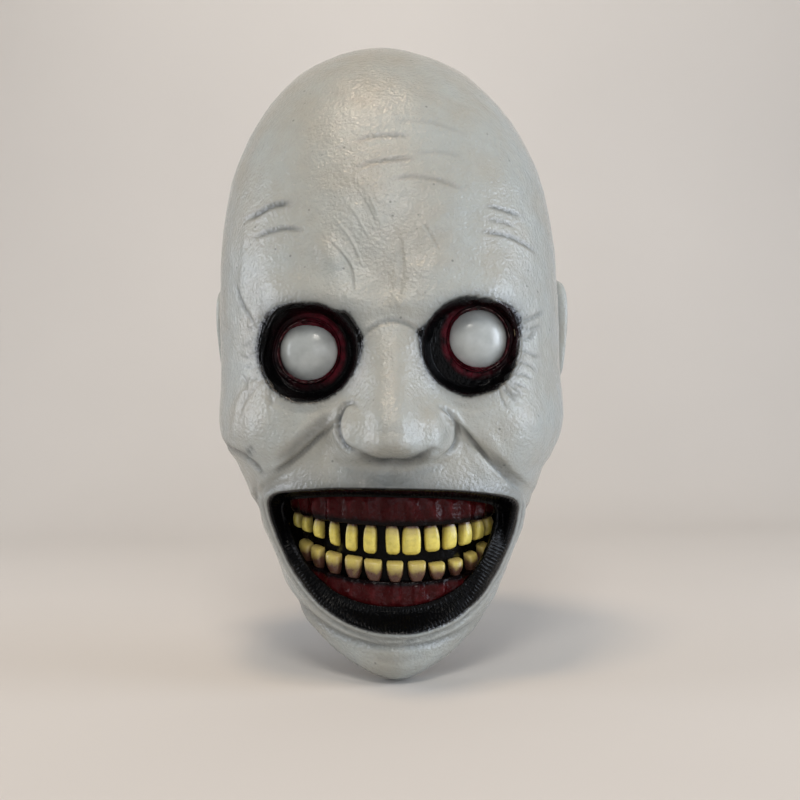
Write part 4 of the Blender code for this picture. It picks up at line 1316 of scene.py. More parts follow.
    def paint_socket(self, index: int, places: Array, shown: Array, paint: Paint) -> Array:
        """Paint an eye socket black with a ragged edge, and red towards the nose.

        Args:
            index: 0 for the left one and 1 for the right.
            places: Points of the modelled head.
            shown: Which of them are on its front.
            paint: The paint, changed here.

        Returns:
            The relief of the rings round the eye.
        """
        sockets = self.face.sockets
        outline = (self.sculpt.left_socket, self.sculpt.right_socket)[index]
        found = nearest_on(self.view.project(places), spline(outline, 5, True), True, self.socket_reach_px)
        depth = found.away * found.side * self.view.mm_per_px(places)
        socket = (sockets.socket_centres[index], sockets.radius)
        lid = (sockets.eye_centres[index], sockets.lid_room[1] - self.lid_overlap)
        for (x, z), reach in (socket, lid):
            depth = np.maximum(depth, (reach - np.hypot(places[:, 0] - x, places[:, 2] - z)) / MM)
        depth = np.where(shown, depth, NO_BLACK)
        closer = depth > paint.black
        paint.black = np.where(closer, depth, paint.black)
        flat_edge = (found.place - np.mean(outline, 0)) * self.edge_mm_per_px * MM
        paint.edge_place[closer] = np.insert(flat_edge, 1, index, axis=1)[closer]
        # Painted shade with the airbrushing: darker grey fading out from the black
        strength, reach = self.socket_wash
        paint.wash = np.maximum(paint.wash, strength * np.exp(-np.maximum(-depth, 0.0) / reach))
        radius, angle = sockets.from_axis(index, places)
        loose = smooth_step(*self.loose_span, np.cos(angle - math.radians(self.loose_brush)))
        least, more = self.socket_fray
        paint.fray = np.where(closer, least + more * loose, paint.fray)
        nasal = smooth_step(*self.red_span, np.cos(angle - math.radians(sockets.fleshy_sides[index])))
        red = (self.least_red + (1.0 - self.least_red) * nasal) * (1.0 - smooth_step(*self.red_end, radius))
        paint.red = np.maximum(paint.red, red * (depth > 0.0))
        slow, fast = self.ring_wander
        wander = slow * np.sin(2 * angle + index) + fast * np.sin(5 * angle)
        bowl = smooth_step(*self.ring_start, radius) * (1.0 - smooth_step(*self.ring_end, radius))
        return bowl * self.ring_depth * np.cos(2 * math.pi * radius / self.ring_spacing + wander)

    def outside(self) -> BMesh:
        """Sculpt and paint the outside.

        Returns:
            The sheet, with its paint in layers.
        """
        bm = self.sheet(1)
        for wanted in (self.on_face, self.in_detail, self.in_fine_detail):
            self.refine(bm, wanted)
        self.cut_holes(bm)
        places = self.stand_up(bm)
        bm.normal_update()
        height, paint = self.relief(places, self.view.project(places))
        height += self.lump * sum(strength * grain(places, size, seed) for size, strength, seed in self.lump_kinds)
        layers = {name: bm.verts.layers.float.new(name) for name in ("black", "wash", "red", "fray")}
        edge_place = bm.verts.layers.float_vector.new("edge_place")
        for i, vert in enumerate(bm.verts):
            vert.co = vert.co + vert.normal * height[i]
            for name, layer in layers.items():
                vert[layer] = getattr(paint, name)[i]
            vert[edge_place] = paint.edge_place[i]
        self.close_crown(bm)
        return bm

    def inside(self) -> BMesh:
        """Make the plain inside.

        Returns:
            The sheet, one wall further in than the outside.
        """
        bm = self.sheet(2)
        for wanted in (self.on_face, self.in_hollows):
            self.refine(bm, wanted)
        self.cut_holes(bm)
        places = self.stand_up(bm)
        bm.normal_update()
        outer, _ = self.face.lip_bands(places)
        off_lips = smooth_step(0.0, self.inner_lip_fade, -outer.away * outer.side)
        depths = self.wall + self.face_padding * self.face.in_front(places) * off_lips
        for vert, depth in zip(bm.verts, depths):
            vert.co = vert.co - vert.normal * depth
        self.close_crown(bm)
        bmesh.ops.reverse_faces(bm, faces=bm.faces[:])
        return bm

    def piece_of(self, bm: BMesh, side: int) -> BMesh:
        """Cut one piece out of a sheet.

        Args:
            bm: The sheet, which stays as it is.
            side: 0 for the head, and -1 or 1 for the piece on that side of the slit.

        Returns:
            The piece.
        """
        part = bm.copy()
        way, station = part.verts.layers.float["way"], part.verts.layers.float["station"]
        start = self.stations()[self.slit_row] - TINY
        gone = []
        for face in part.faces:
            rear = all(abs(v[way]) > self.patch_way - TINY and v[station] > start for v in face.verts)
            belongs = math.copysign(1, face.calc_center_median().x) if rear else 0
            if belongs != side:
                gone.append(face)
        bmesh.ops.delete(part, geom=gone, context="FACES")
        return part

    def rim_loops(self, bm: BMesh, coat: Coat) -> list[list[Vert]]:
        """Follow the open edges of the faces of one finish.

        Args:
            bm: The mesh.
            coat: The finish.

        Returns:
            Rows of vertices, in the faces' own order.
        """
        after = {}
        for edge in bm.edges:
            if edge.is_boundary and edge.link_faces[0].material_index == coat:
                loop = edge.link_loops[0]
                after[loop.vert] = loop.link_loop_next.vert
        loops = []
        while after:
            start = next(iter(after))
            loop = [start]
            step = after.pop(start)
            while step is not start:
                loop.append(step)
                step = after.pop(step)
            loops.append(loop)
        return loops

    def zip_rim(self, bm: BMesh, outer: list[Vert], inner: list[Vert], coat: Coat) -> None:
        """Close the wall with the faces of its rim.

        Args:
            bm: The mesh.
            outer: The rim's row of vertices on the outside.
            inner: Its row on the inside.
            coat: The new faces' finish.
        """
        inner = inner[::-1]
        nearest = min(range(len(inner)), key=lambda i: (inner[i].co - outer[0].co).length)
        inner = inner[nearest:] + inner[:nearest]
        i = j = 0
        while i < len(outer) or j < len(inner):
            a, a_next = outer[i % len(outer)], outer[(i + 1) % len(outer)]
            b, b_next = inner[j % len(inner)], inner[(j + 1) % len(inner)]
            forward = (a_next.co - b.co).length <= (b_next.co - a.co).length
            if j >= len(inner) or (forward and i < len(outer)):
                face = bm.faces.new((a_next, a, b))
                i += 1
            else:
                face = bm.faces.new((a, b, b_next))
                j += 1
            face.material_index = coat

    def closed_piece(self, name: str, outer: BMesh, inner: BMesh, side: int) -> Piece:
        """Close one piece of the skin.

        Args:
            name: The piece's name.
            outer: The whole outside.
            inner: The whole inside.
            side: 0 for the head, and -1 or 1 for the piece on that side of the slit.

        Returns:
            The piece, not yet painted.
        """

        def middle(loop: list[Vert]) -> Vector:
            """Return the middle of a row of vertices."""
            return sum((vert.co for vert in loop), Vector()) / len(loop)

        bm = self.piece_of(outer, side)
        within = self.piece_of(inner, side)
        for face in within.faces:
            face.material_index = Coat.RAW
        mesh = bpy.data.meshes.new(name)
        within.to_mesh(mesh)
        within.free()
        bm.from_mesh(mesh)
        mesh.clear_geometry()
        inner_loops = self.rim_loops(bm, Coat.RAW)
        for loop in self.rim_loops(bm, Coat.PAINTED):
            centre = middle(loop)
            partner = min(inner_loops, key=lambda other: (middle(other) - centre).length)
            self.zip_rim(bm, loop, partner, Coat.BLACK if centre.y < self.face.front_y else Coat.RAW)
        bm.normal_update()
        black, fray = bm.verts.layers.float["black"], bm.verts.layers.float["fray"]
        for face in bm.faces:
            face.smooth = True
            depth = min(vert[black] - self.ragged_black * vert[fray] for vert in face.verts)
            if face.material_index == Coat.PAINTED and depth > self.full_black:
                face.material_index = Coat.BLACK
        for edge in bm.edges:
            bare = edge.link_faces[0].material_index == Coat.RAW
            edge.smooth = not bare or edge.calc_face_angle(0.0) < math.radians(self.rim_sharp)
        bm.to_mesh(mesh)
        bm.free()
        return put_in_scene(name, mesh)

    def build(self) -> list[Piece]:
        """Build the skin.

        Returns:
            The head and the two pieces beside its slit.
        """
        outer, inner = self.outside(), self.inside()
        sides = ("sculpted_skin", 0), ("left_rear_skin", -1), ("right_rear_skin", 1)
        made = [self.closed_piece(name, outer, inner, side) for name, side in sides]
        outer.free()
        inner.free()
        return made

    def dress(self, pieces: list[Piece], finishes: Sequence[Material]) -> None:
        """Paint the skin's pieces and hang them on the mask's bodies.

        Args:
            pieces: The head and the two pieces beside its slit.
            finishes: The outside, the bare inside and the black round eyes and mouth, in the order of Coat.
        """
        for piece in pieces:
            for finish in finishes:
                piece.data.materials.append(finish)
        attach(pieces[0], "mask")
        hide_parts("head_skin")
        slit_top = self.plain(np.array([[2.0, self.stations()[self.slit_row], 0.0]]))[0]
        hem = self.plain(np.array([[self.fold_way, self.head.hem_station, 0.0]]))[0]
        for piece, (name, side) in zip(pieces[1:], SIDES):
            along = np.array([hem[0] * side, 0.0, hem[2] - slit_top[2]])
            inward = np.array([along[2] * side, 0.0, -along[0] * side])
            inward = inward / np.linalg.norm(inward)
            start = np.array([0.0, slit_top[1], slit_top[2]])
            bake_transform(piece, "mask", f"{name}_flap", start=tuple(start), end=tuple(start + self.bend_width * inward))
            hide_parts(f"{name}_rear_flap")


def colour(hex_value: str) -> tuple[float, float, float, float]:
    """Return a linear colour for an sRGB hex value."""
    parts = [int(hex_value[i : i + 2], 16) / 255 for i in (1, 3, 5)]
    return *(p / 12.92 if p <= 0.04045 else ((p + 0.055) / 1.055) ** 2.4 for p in parts), 1.0


def set_inputs(tree: bpy.types.NodeTree, node: bpy.types.Node, inputs: dict) -> None:
    """Set a node's inputs.

    Args:
        tree: The material's node tree.
        node: The node.
        inputs: Values by the socket's name or number; another node's result is linked.
    """
    for key, value in inputs.items():
        if isinstance(value, bpy.types.NodeSocket):
            tree.links.new(value, node.inputs[key])
        else:
            node.inputs[key].default_value = value


def add_node(
    tree: bpy.types.NodeTree, kind: str, inputs: dict, out: int | str = 0, **settings: object
) -> bpy.types.NodeSocket:
    """Add a node.

    Args:
        tree: The material's node tree.
        kind: The node's type without its prefix.
        inputs: Values by the socket's name or number; another node's result is linked.
        out: Which of its results is wanted.
        settings: Values for its other settings.

    Returns:
        The result.
    """
    made = tree.nodes.new(f"ShaderNode{kind}")
    for name, value in settings.items():
        setattr(made, name, value)
    set_inputs(tree, made, inputs)
    return made.outputs[out]


def start_material(name: str) -> tuple[Material, bpy.types.NodeTree, bpy.types.NodeSocket, bpy.types.Node]:
    """Start a material.

    Args:
        name: Its name.

    Returns:
        The material, its tree, the object's coordinates in it and its shader.
    """
    material = bpy.data.materials.new(name)
    material.use_nodes = True
    tree = material.node_tree
    return material, tree, add_node(tree, "TexCoord", {}, "Object"), tree.nodes["Principled BSDF"]


@dataclass(frozen=True)
class CastLatex:
    """Natural rubber latex, slush-cast in a plaster mould, then sprayed and brushed by hand."""

    # The mould leaves a fine pebble grain with a soft sheen; sprayed grey is cloudy, and darker grey lies in the
    # creases and hollows, part airbrushing and part painted shade, while the black round eyes and mouth was brushed
    # on and ends in short ragged strokes. The real grain is too fine to show here, so it is drawn 1 to 2 mm coarse
    grey: str = "#a9aeab"
    warm: str = "#a7a79f"
    wash: str = "#3c4143"
    black: str = "#060607"
    red: str = "#44141b"
    ior: float = 1.52
    cloud_mm: float = 26.0
    patch_mm: float = 6.0
    grain_mm: float = 1.1
    pebble_mm: float = 1.6
    brush_mm: float = 2.4
    speck_mm: float = 9.0
    cloud_span: Pair = (0.35, 0.65)
    mottle: Pair = (0.96, 1.03)
    speck_edge: Pair = (0.09, 0.03)
    speck_strength: float = 0.5
    wash_strength: Pair = (1.0, 1.5)
    brush_ragged: float = 0.6
    grain_ragged: float = 0.35
    tight_edge: float = 0.3
    black_edge: Pair = (-1.6, 0.45)
    gloss: Pair = (0.11, 0.2)
    grain_height: float = 0.00033

    def material(self) -> Material:
        """Mix the painted outside.

        Returns:
            The material, which reads the skin's paint by name.
        """
        made, tree, place, shader = start_material("slush_cast_latex_sprayed_grey")
        edge = add_node(tree, "Attribute", {}, "Vector", attribute_name="edge_place")
        cloud, patch, fine, strokes = (
            add_node(tree, "TexNoise", {"Vector": at, "Scale": 1000 / size, "Detail": detail, "Distortion": bent})
            for at, size, detail, bent in (
                (place, self.cloud_mm, 3.0, 0.0),
                (place, self.patch_mm, 4.0, 0.0),
                (place, self.grain_mm, 3.0, 0.8),
                (edge, self.brush_mm, 4.0, 0.0),
            )
        )
        pebble, specks = (
            add_node(tree, "TexVoronoi", {"Vector": place, "Scale": 1000 / size}, "Distance", feature=feature)
            for size, feature in ((self.pebble_mm, "SMOOTH_F1"), (self.speck_mm, "F1"))
        )
        washed, fray, depth, reddened = (
            add_node(tree, "Attribute", {}, "Fac", attribute_name=name) for name in ("wash", "fray", "black", "red")
        )
        clouded, mottle, specked, uneven, ragged, rough_edge, spread, gloss = (
            add_node(tree, "MapRange", dict(enumerate(values)))
            for values in (
                (cloud, *self.cloud_span),
                (patch, *NOISE_SPAN, *self.mottle),
                (specks, *self.speck_edge, 0.0, self.speck_strength),
                (patch, *NOISE_SPAN, *self.wash_strength),
                (strokes, *NOISE_SPAN, -self.brush_ragged, self.brush_ragged),
                (fine, *NOISE_SPAN, -self.grain_ragged, self.grain_ragged),
                (fray, 0.0, 1.0, self.tight_edge, 1.0),
                (patch, *NOISE_SPAN, *self.gloss),
            )
        )
        washed = add_node(tree, "Math", {0: washed, 1: uneven}, operation="MULTIPLY", use_clamp=True)
        ragged = add_node(tree, "Math", {0: ragged, 1: rough_edge}, operation="ADD")
        depth = add_node(tree, "Math", {0: ragged, 1: fray, 2: depth}, operation="MULTIPLY_ADD")
        depth = add_node(tree, "Math", {0: depth, 1: spread}, operation="DIVIDE")
        first, last = self.black_edge
        covered = add_node(tree, "MapRange", {0: depth, 1: first, 2: last}, interpolation_type="SMOOTHSTEP")
        base = add_node(tree, "Mix", {0: clouded, 6: colour(self.grey), 7: colour(self.warm)}, 2, data_type="RGBA")
        base = add_node(tree, "Mix", {0: 1.0, 6: base, 7: mottle}, 2, data_type="RGBA", blend_type="MULTIPLY")
        # Darker grey goes into creases and hollows, part airbrushing and part painted shade, then come the black and
        # the red
        for amount, over in ((specked, self.wash), (washed, self.wash), (covered, self.black), (reddened, self.red)):
            base = add_node(tree, "Mix", {0: amount, 6: base, 7: colour(over)}, 2, data_type="RGBA")
        lumps = add_node(tree, "Math", {0: pebble, 1: fine}, operation="ADD")
        bump = add_node(tree, "Bump", {"Height": lumps, "Distance": self.grain_height})
        set_inputs(tree, shader, {"Base Color": base, "Roughness": gloss, "Normal": bump, "IOR": self.ior})
        return made


@dataclass(frozen=True)
class RawLatex:
    """Unpainted natural rubber latex, as it dried in the mould."""

    # The side that dried in air is cream, smooth and slightly waxy, with thick and thin runs
    cream: str = "#cdbf9c"
    amber: str = "#b8a274"
    ior: float = 1.52
    run_mm: float = 22.0
    ripple_mm: float = 4.0
    run_span: Pair = (0.35, 0.65)
    gloss: Pair = (0.38, 0.55)
    ripple_height: float = 0.0005

    def material(self) -> Material:
        """Mix the bare inside and cut edges.

        Returns:
            The material.
        """
        made, tree, place, shader = start_material("slush_cast_latex_unpainted")
        runs, ripple = (
            add_node(tree, "TexNoise", {"Vector": place, "Scale": 1000 / size, "Detail": detail})
            for size, detail in ((self.run_mm, 3.0), (self.ripple_mm, 2.0))
        )
        thick, gloss = (
            add_node(tree, "MapRange", dict(enumerate(values)))
            for values in ((runs, *self.run_span), (ripple, *NOISE_SPAN, *self.gloss))
        )
        base = add_node(tree, "Mix", {0: thick, 6: colour(self.cream), 7: colour(self.amber)}, 2, data_type="RGBA")
        bump = add_node(tree, "Bump", {"Height": ripple, "Distance": self.ripple_height})
        set_inputs(tree, shader, {"Base Color": base, "Roughness": gloss, "Normal": bump, "IOR": self.ior})
        return made


@dataclass(frozen=True)
class BrushedBlack:
    """Black rubber-based paint, brushed thickly on cast latex."""

    # It is deep black with small wet highlights on its folds, and red shows through it beside the lids
    black: str = "#070708"
    red: str = "#641b28"
    ior: float = 1.5
    specular: float = 0.08
    fold_mm: float = 1.6
    smear_mm: float = 5.0
    red_strength: Pair = (0.1, 1.1)
    gloss: Pair = (0.05, 0.1)
    fold_height: float = 0.0004

    def material(self) -> Material:
        """Mix the black of the sockets and lips.

        Returns:
            The material, which reads the skin's red by name.
        """
        made, tree, place, shader = start_material("latex_brushed_gloss_black")
        fold, smear = (
            add_node(tree, "TexNoise", {"Vector": place, "Scale": 1000 / size, "Detail": 3.0})
            for size in (self.fold_mm, self.smear_mm)
        )
        uneven, gloss = (
            add_node(tree, "MapRange", dict(enumerate((smear, *NOISE_SPAN, *span))))
            for span in (self.red_strength, self.gloss)
        )
        reddened = add_node(tree, "Attribute", {}, "Fac", attribute_name="red")
        reddened = add_node(tree, "Math", {0: reddened, 1: uneven}, operation="MULTIPLY", use_clamp=True)
        base = add_node(tree, "Mix", {0: reddened, 6: colour(self.black), 7: colour(self.red)}, 2, data_type="RGBA")
        bump = add_node(tree, "Bump", {"Height": fold, "Distance": self.fold_height})
        set_inputs(tree, shader, {"Base Color": base, "Roughness": gloss, "Normal": bump, "IOR": self.ior})
        set_inputs(tree, shader, {"Specular IOR Level": self.specular})
        return made


@dataclass(frozen=True)
class BrushedPaint:
    """Rubber-based paint brushed on cast latex: one colour over a darker one in the hollows, which is partly painted
    shade, with a third colour laid on where a piece asks.
    """

    # It dries glossy and thick, so it shows brush crinkles and darker paint where two parts meet. The darker colour is
    # also painted shade where a piece passes under another, and the third colour is also a painted highlight on the
    # gum's swellings
    name: str
    body: str
    deep: str
    worn: str
    gloss: Pair
    crinkle_mm: float
    crinkle_height: float
    stain_mm: float = 3.5
    ior: float = 1.5
    specular: float = 0.5
    shade: Pair = (0.8, 1.12)
    ragged: float = 0.22
    cover_span: Pair = (0.15, 0.95)

    def material(self) -> Material:
        """Mix the finish.

        Returns:
            The material: two attributes of a piece say where the darker colour, partly painted shade, and the third
                colour, partly painted highlight, lie.
        """
        made, tree, place, shader = start_material(self.name)
        stain, crinkle = (
            add_node(tree, "TexNoise", {"Vector": place, "Scale": 1000 / size, "Detail": detail, "Distortion": bent})
            for size, detail, bent in ((self.stain_mm, 4.0, 0.0), (self.crinkle_mm, 3.0, 0.6))
        )
        shade, uneven, gloss = (
            add_node(tree, "MapRange", dict(enumerate((value, *NOISE_SPAN, *span))))
            for value, span in ((stain, self.shade), (stain, (-self.ragged, self.ragged)), (crinkle, self.gloss))
        )
        base = {0: 1.0, 6: colour(self.body), 7: shade}
        base = add_node(tree, "Mix", base, 2, data_type="RGBA", blend_type="MULTIPLY")
        for name, over in (("deep", self.deep), ("worn", self.worn)):
            amount = add_node(tree, "Attribute", {}, "Fac", attribute_name=name)
            ragged = add_node(tree, "Math", {0: amount, 1: uneven}, operation="ADD")
            spread = add_node(tree, "MapRange", dict(enumerate((ragged, *self.cover_span))))
            base = add_node(tree, "Mix", {0: spread, 6: base, 7: colour(over)}, 2, data_type="RGBA")
        bump = add_node(tree, "Bump", {"Height": crinkle, "Distance": self.crinkle_height})
        set_inputs(tree, shader, {"Base Color": base, "Roughness": gloss, "Normal": bump, "IOR": self.ior})
        set_inputs(tree, shader, {"Specular IOR Level": self.specular})
        return made


GUM_PAINT = BrushedPaint(
    "latex_brushed_dark_red", "#3c0c0e", "#0a0405", "#5a2023", (0.05, 0.1), 2.2, 0.0005, specular=0.11
)
TOOTH_PAINT = BrushedPaint("latex_brushed_yellow", "#e6d56a", "#573a2e", "#bda866", (0.24, 0.38), 1.6, 0.00012)
LID_PAINT = BrushedPaint(
    "latex_brushed_red_lid", "#7d2635", "#180b0d", "#a8908c", (0.14, 0.26), 1.1, 0.0002, specular=0.34
)
LINING_PAINT = BrushedPaint(
    "latex_brushed_black", "#090807", "#060505", "#4c4623", (0.22, 0.38), 2.2, 0.0003, specular=0.06
)
DOME_PLASTIC = BrushedPaint(
    "vacuum_formed_plastic_frosted", "#bbc0be", "#9ca19f", "#c8cdca", (0.16, 0.24), 0.9, 0.00004, stain_mm=9.0
)


def add_piece(name: str, bm: BMesh, finish: Material, slot: str, node: str, sharp: float, **values: Array) -> Piece:
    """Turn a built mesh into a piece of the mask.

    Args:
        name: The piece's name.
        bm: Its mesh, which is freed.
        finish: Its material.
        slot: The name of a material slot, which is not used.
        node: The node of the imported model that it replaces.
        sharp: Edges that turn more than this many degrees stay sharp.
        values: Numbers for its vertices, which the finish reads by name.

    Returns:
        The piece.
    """
    bmesh.ops.recalc_face_normals(bm, faces=bm.faces[:])
    mesh = to_mesh(name, bm)
    mesh.set_sharp_from_angle(angle=math.radians(sharp))
    mesh.materials.append(finish)
    for key, numbers in values.items():
        mesh.attributes.new(key, "FLOAT", "POINT").data.foreach_set("value", np.asarray(numbers, np.float32))
    made = put_in_scene(name, mesh)
    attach(made, "mask")
    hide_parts(node)
    return made


class Ends(Enum):
    """What becomes of the first and the last of a row of rings."""

    OPEN = "they are left open"
    JOINED = "they are joined to each other"
    FLAT = "each is closed with a flat face"


def add_rows(bm: BMesh, rows: Sequence[Sequence], ends: Ends = Ends.OPEN) -> list[list[Vert]]:
    """Add faces between rows of points, each row a ring.

    Args:
        bm: The mesh.
        rows: Rings of points, as many in each.
        ends: What becomes of the first and the last ring.

    Returns:
        The rings of vertices.
    """
    rings = [[bm.verts.new(point) for point in row] for row in rows]
    for first, second in zip(rings, rings[1:] + (rings[:1] if ends is Ends.JOINED else [])):
        for i in range(len(first)):
            after = (i + 1) % len(first)
            bm.faces.new((first[i], first[after], second[after], second[i]))
    if ends is Ends.FLAT:
        bm.faces.new(rings[0][::-1])
        bm.faces.new(rings[-1])
    return rings


def cap(bm: BMesh, ring: list[Vert], peak: Vector | None = None) -> None:
    """Close a ring of vertices with a fan of faces.

    Args:
        bm: The mesh.
        ring: The ring.
        peak: The fan's point, if it isn't the ring's middle.
    """
    if peak is None:
        peak = sum((vert.co for vert in ring), Vector()) / len(ring)
    middle = bm.verts.new(peak)
    for first, second in zip(ring, ring[1:] + ring[:1]):
        bm.faces.new((first, second, middle))


@dataclass(frozen=True)
class Ear:
    """An ear cast with the skin: rim, groove, inner ridge, bowl and lobe."""

    head: HeadForm
    index: int
    height: float = 0.058
    width: float = 0.032
    stands: Pair = (0.008, 0.011)
    centre_y: float = 0.038
    centre_level: float = 0.036
    gap: float = 0.0003
    shape: Points = (
        (0.00, 0.5), (0.3, 0.44), (0.48, 0.18), (0.44, -0.12), (0.24, -0.36), (0.02, -0.5), (-0.22, -0.44),
        (-0.3, -0.14), (-0.36, 0.16), (-0.28, 0.4),
    )
    # Share of the way out from the middle, and height as a share of the ear's stand
    section: Points = (
        (1.0, 0.0), (1.015, 0.25), (1.02, 0.5), (1.0, 0.78), (0.96, 0.95), (0.91, 1.0), (0.86, 0.96), (0.81, 0.84),
        (0.76, 0.72), (0.71, 0.66), (0.65, 0.7), (0.59, 0.82), (0.53, 0.85), (0.47, 0.74), (0.4, 0.5),
        (0.32, 0.3), (0.23, 0.22), (0.12, 0.18),
    )
    floor_height: float = 0.17
    # The lobe is flat, and a ridge runs in from the front: degrees and shares that they spread over, and heights
    lobe_spread: float = 34.0
    lobe_start: Pair = (0.3, 0.55)
    lobe_heights: Pair = (0.62, 0.86)
    lobe_rim: float = 0.9
    root_spread: float = 42.0
    root_height: float = 0.34
    root_shares: Pair = (0.5, 0.13)
    # The ear's painted shade: darker grey in its hollows, the heights it fades over, and the grey at its two middle
    # points
    hollow_wash: float = 0.55
    hollow_span: Pair = (0.2, 0.8)
    middle_wash: float = 0.4

    def build(self, finish: Material) -> Piece:
        """Build the ear on its side of the head.

        Args:
            finish: The painted latex.

        Returns:
            The ear.
        """
        name, side = SIDES[self.index]
        stand = self.stands[self.index]
        outline = spline(tuple((y * self.width, z * self.height) for y, z in self.shape), 9, True)
        outline = outline + (self.centre_y, self.centre_level)
        centre = outline.mean(0)
        angle = np.arctan2(*(outline - centre).T[::-1])
        lobe = bell(np.degrees(from_heading(angle, -math.pi / 2)), self.lobe_spread)
        front = bell(np.degrees(from_heading(angle, math.pi)), self.root_spread)
        middle, spread = self.root_shares
        inner, rim = self.lobe_heights
        rows = []
        for share, out in self.section:
            flat = inner if share < self.lobe_rim else min(out, rim)
            lift = stand * (out + (flat - out) * lobe * smooth_step(*self.lobe_start, np.array(share)))
            lift = lift + stand * self.root_height * front * bell(np.array(share - middle), spread)
            ring = centre + (outline - centre) * share
            rows.append([
                Vector((side * (self.head.side_x(y, z) + self.gap + max(o, 0.0)), y, z))
                for (y, z), o in zip(ring, lift)
            ])
        bm = bmesh.new()
        rings = add_rows(bm, rows)
        tip = Vector((side * (self.head.side_x(*centre) + self.gap), *centre))
        cap(bm, rings[-1], tip + Vector((side * self.floor_height * stand, 0.0, 0.0)))
        cap(bm, rings[0][::-1], tip)
        heights = np.repeat([out for _, out in self.section], len(outline))
        # Painted shade: the ear is darker grey the lower its surface lies in the bowl
        wash = self.hollow_wash * (1.0 - smooth_step(*self.hollow_span, heights))
        wash = np.append(wash, (self.middle_wash, self.middle_wash))
        black = np.full(len(wash), NO_BLACK)
        return add_piece(
            f"{name}_cast_ear", bm, finish, "grey_latex", f"{name}_ear", 80.0, black=black, wash=wash
        )


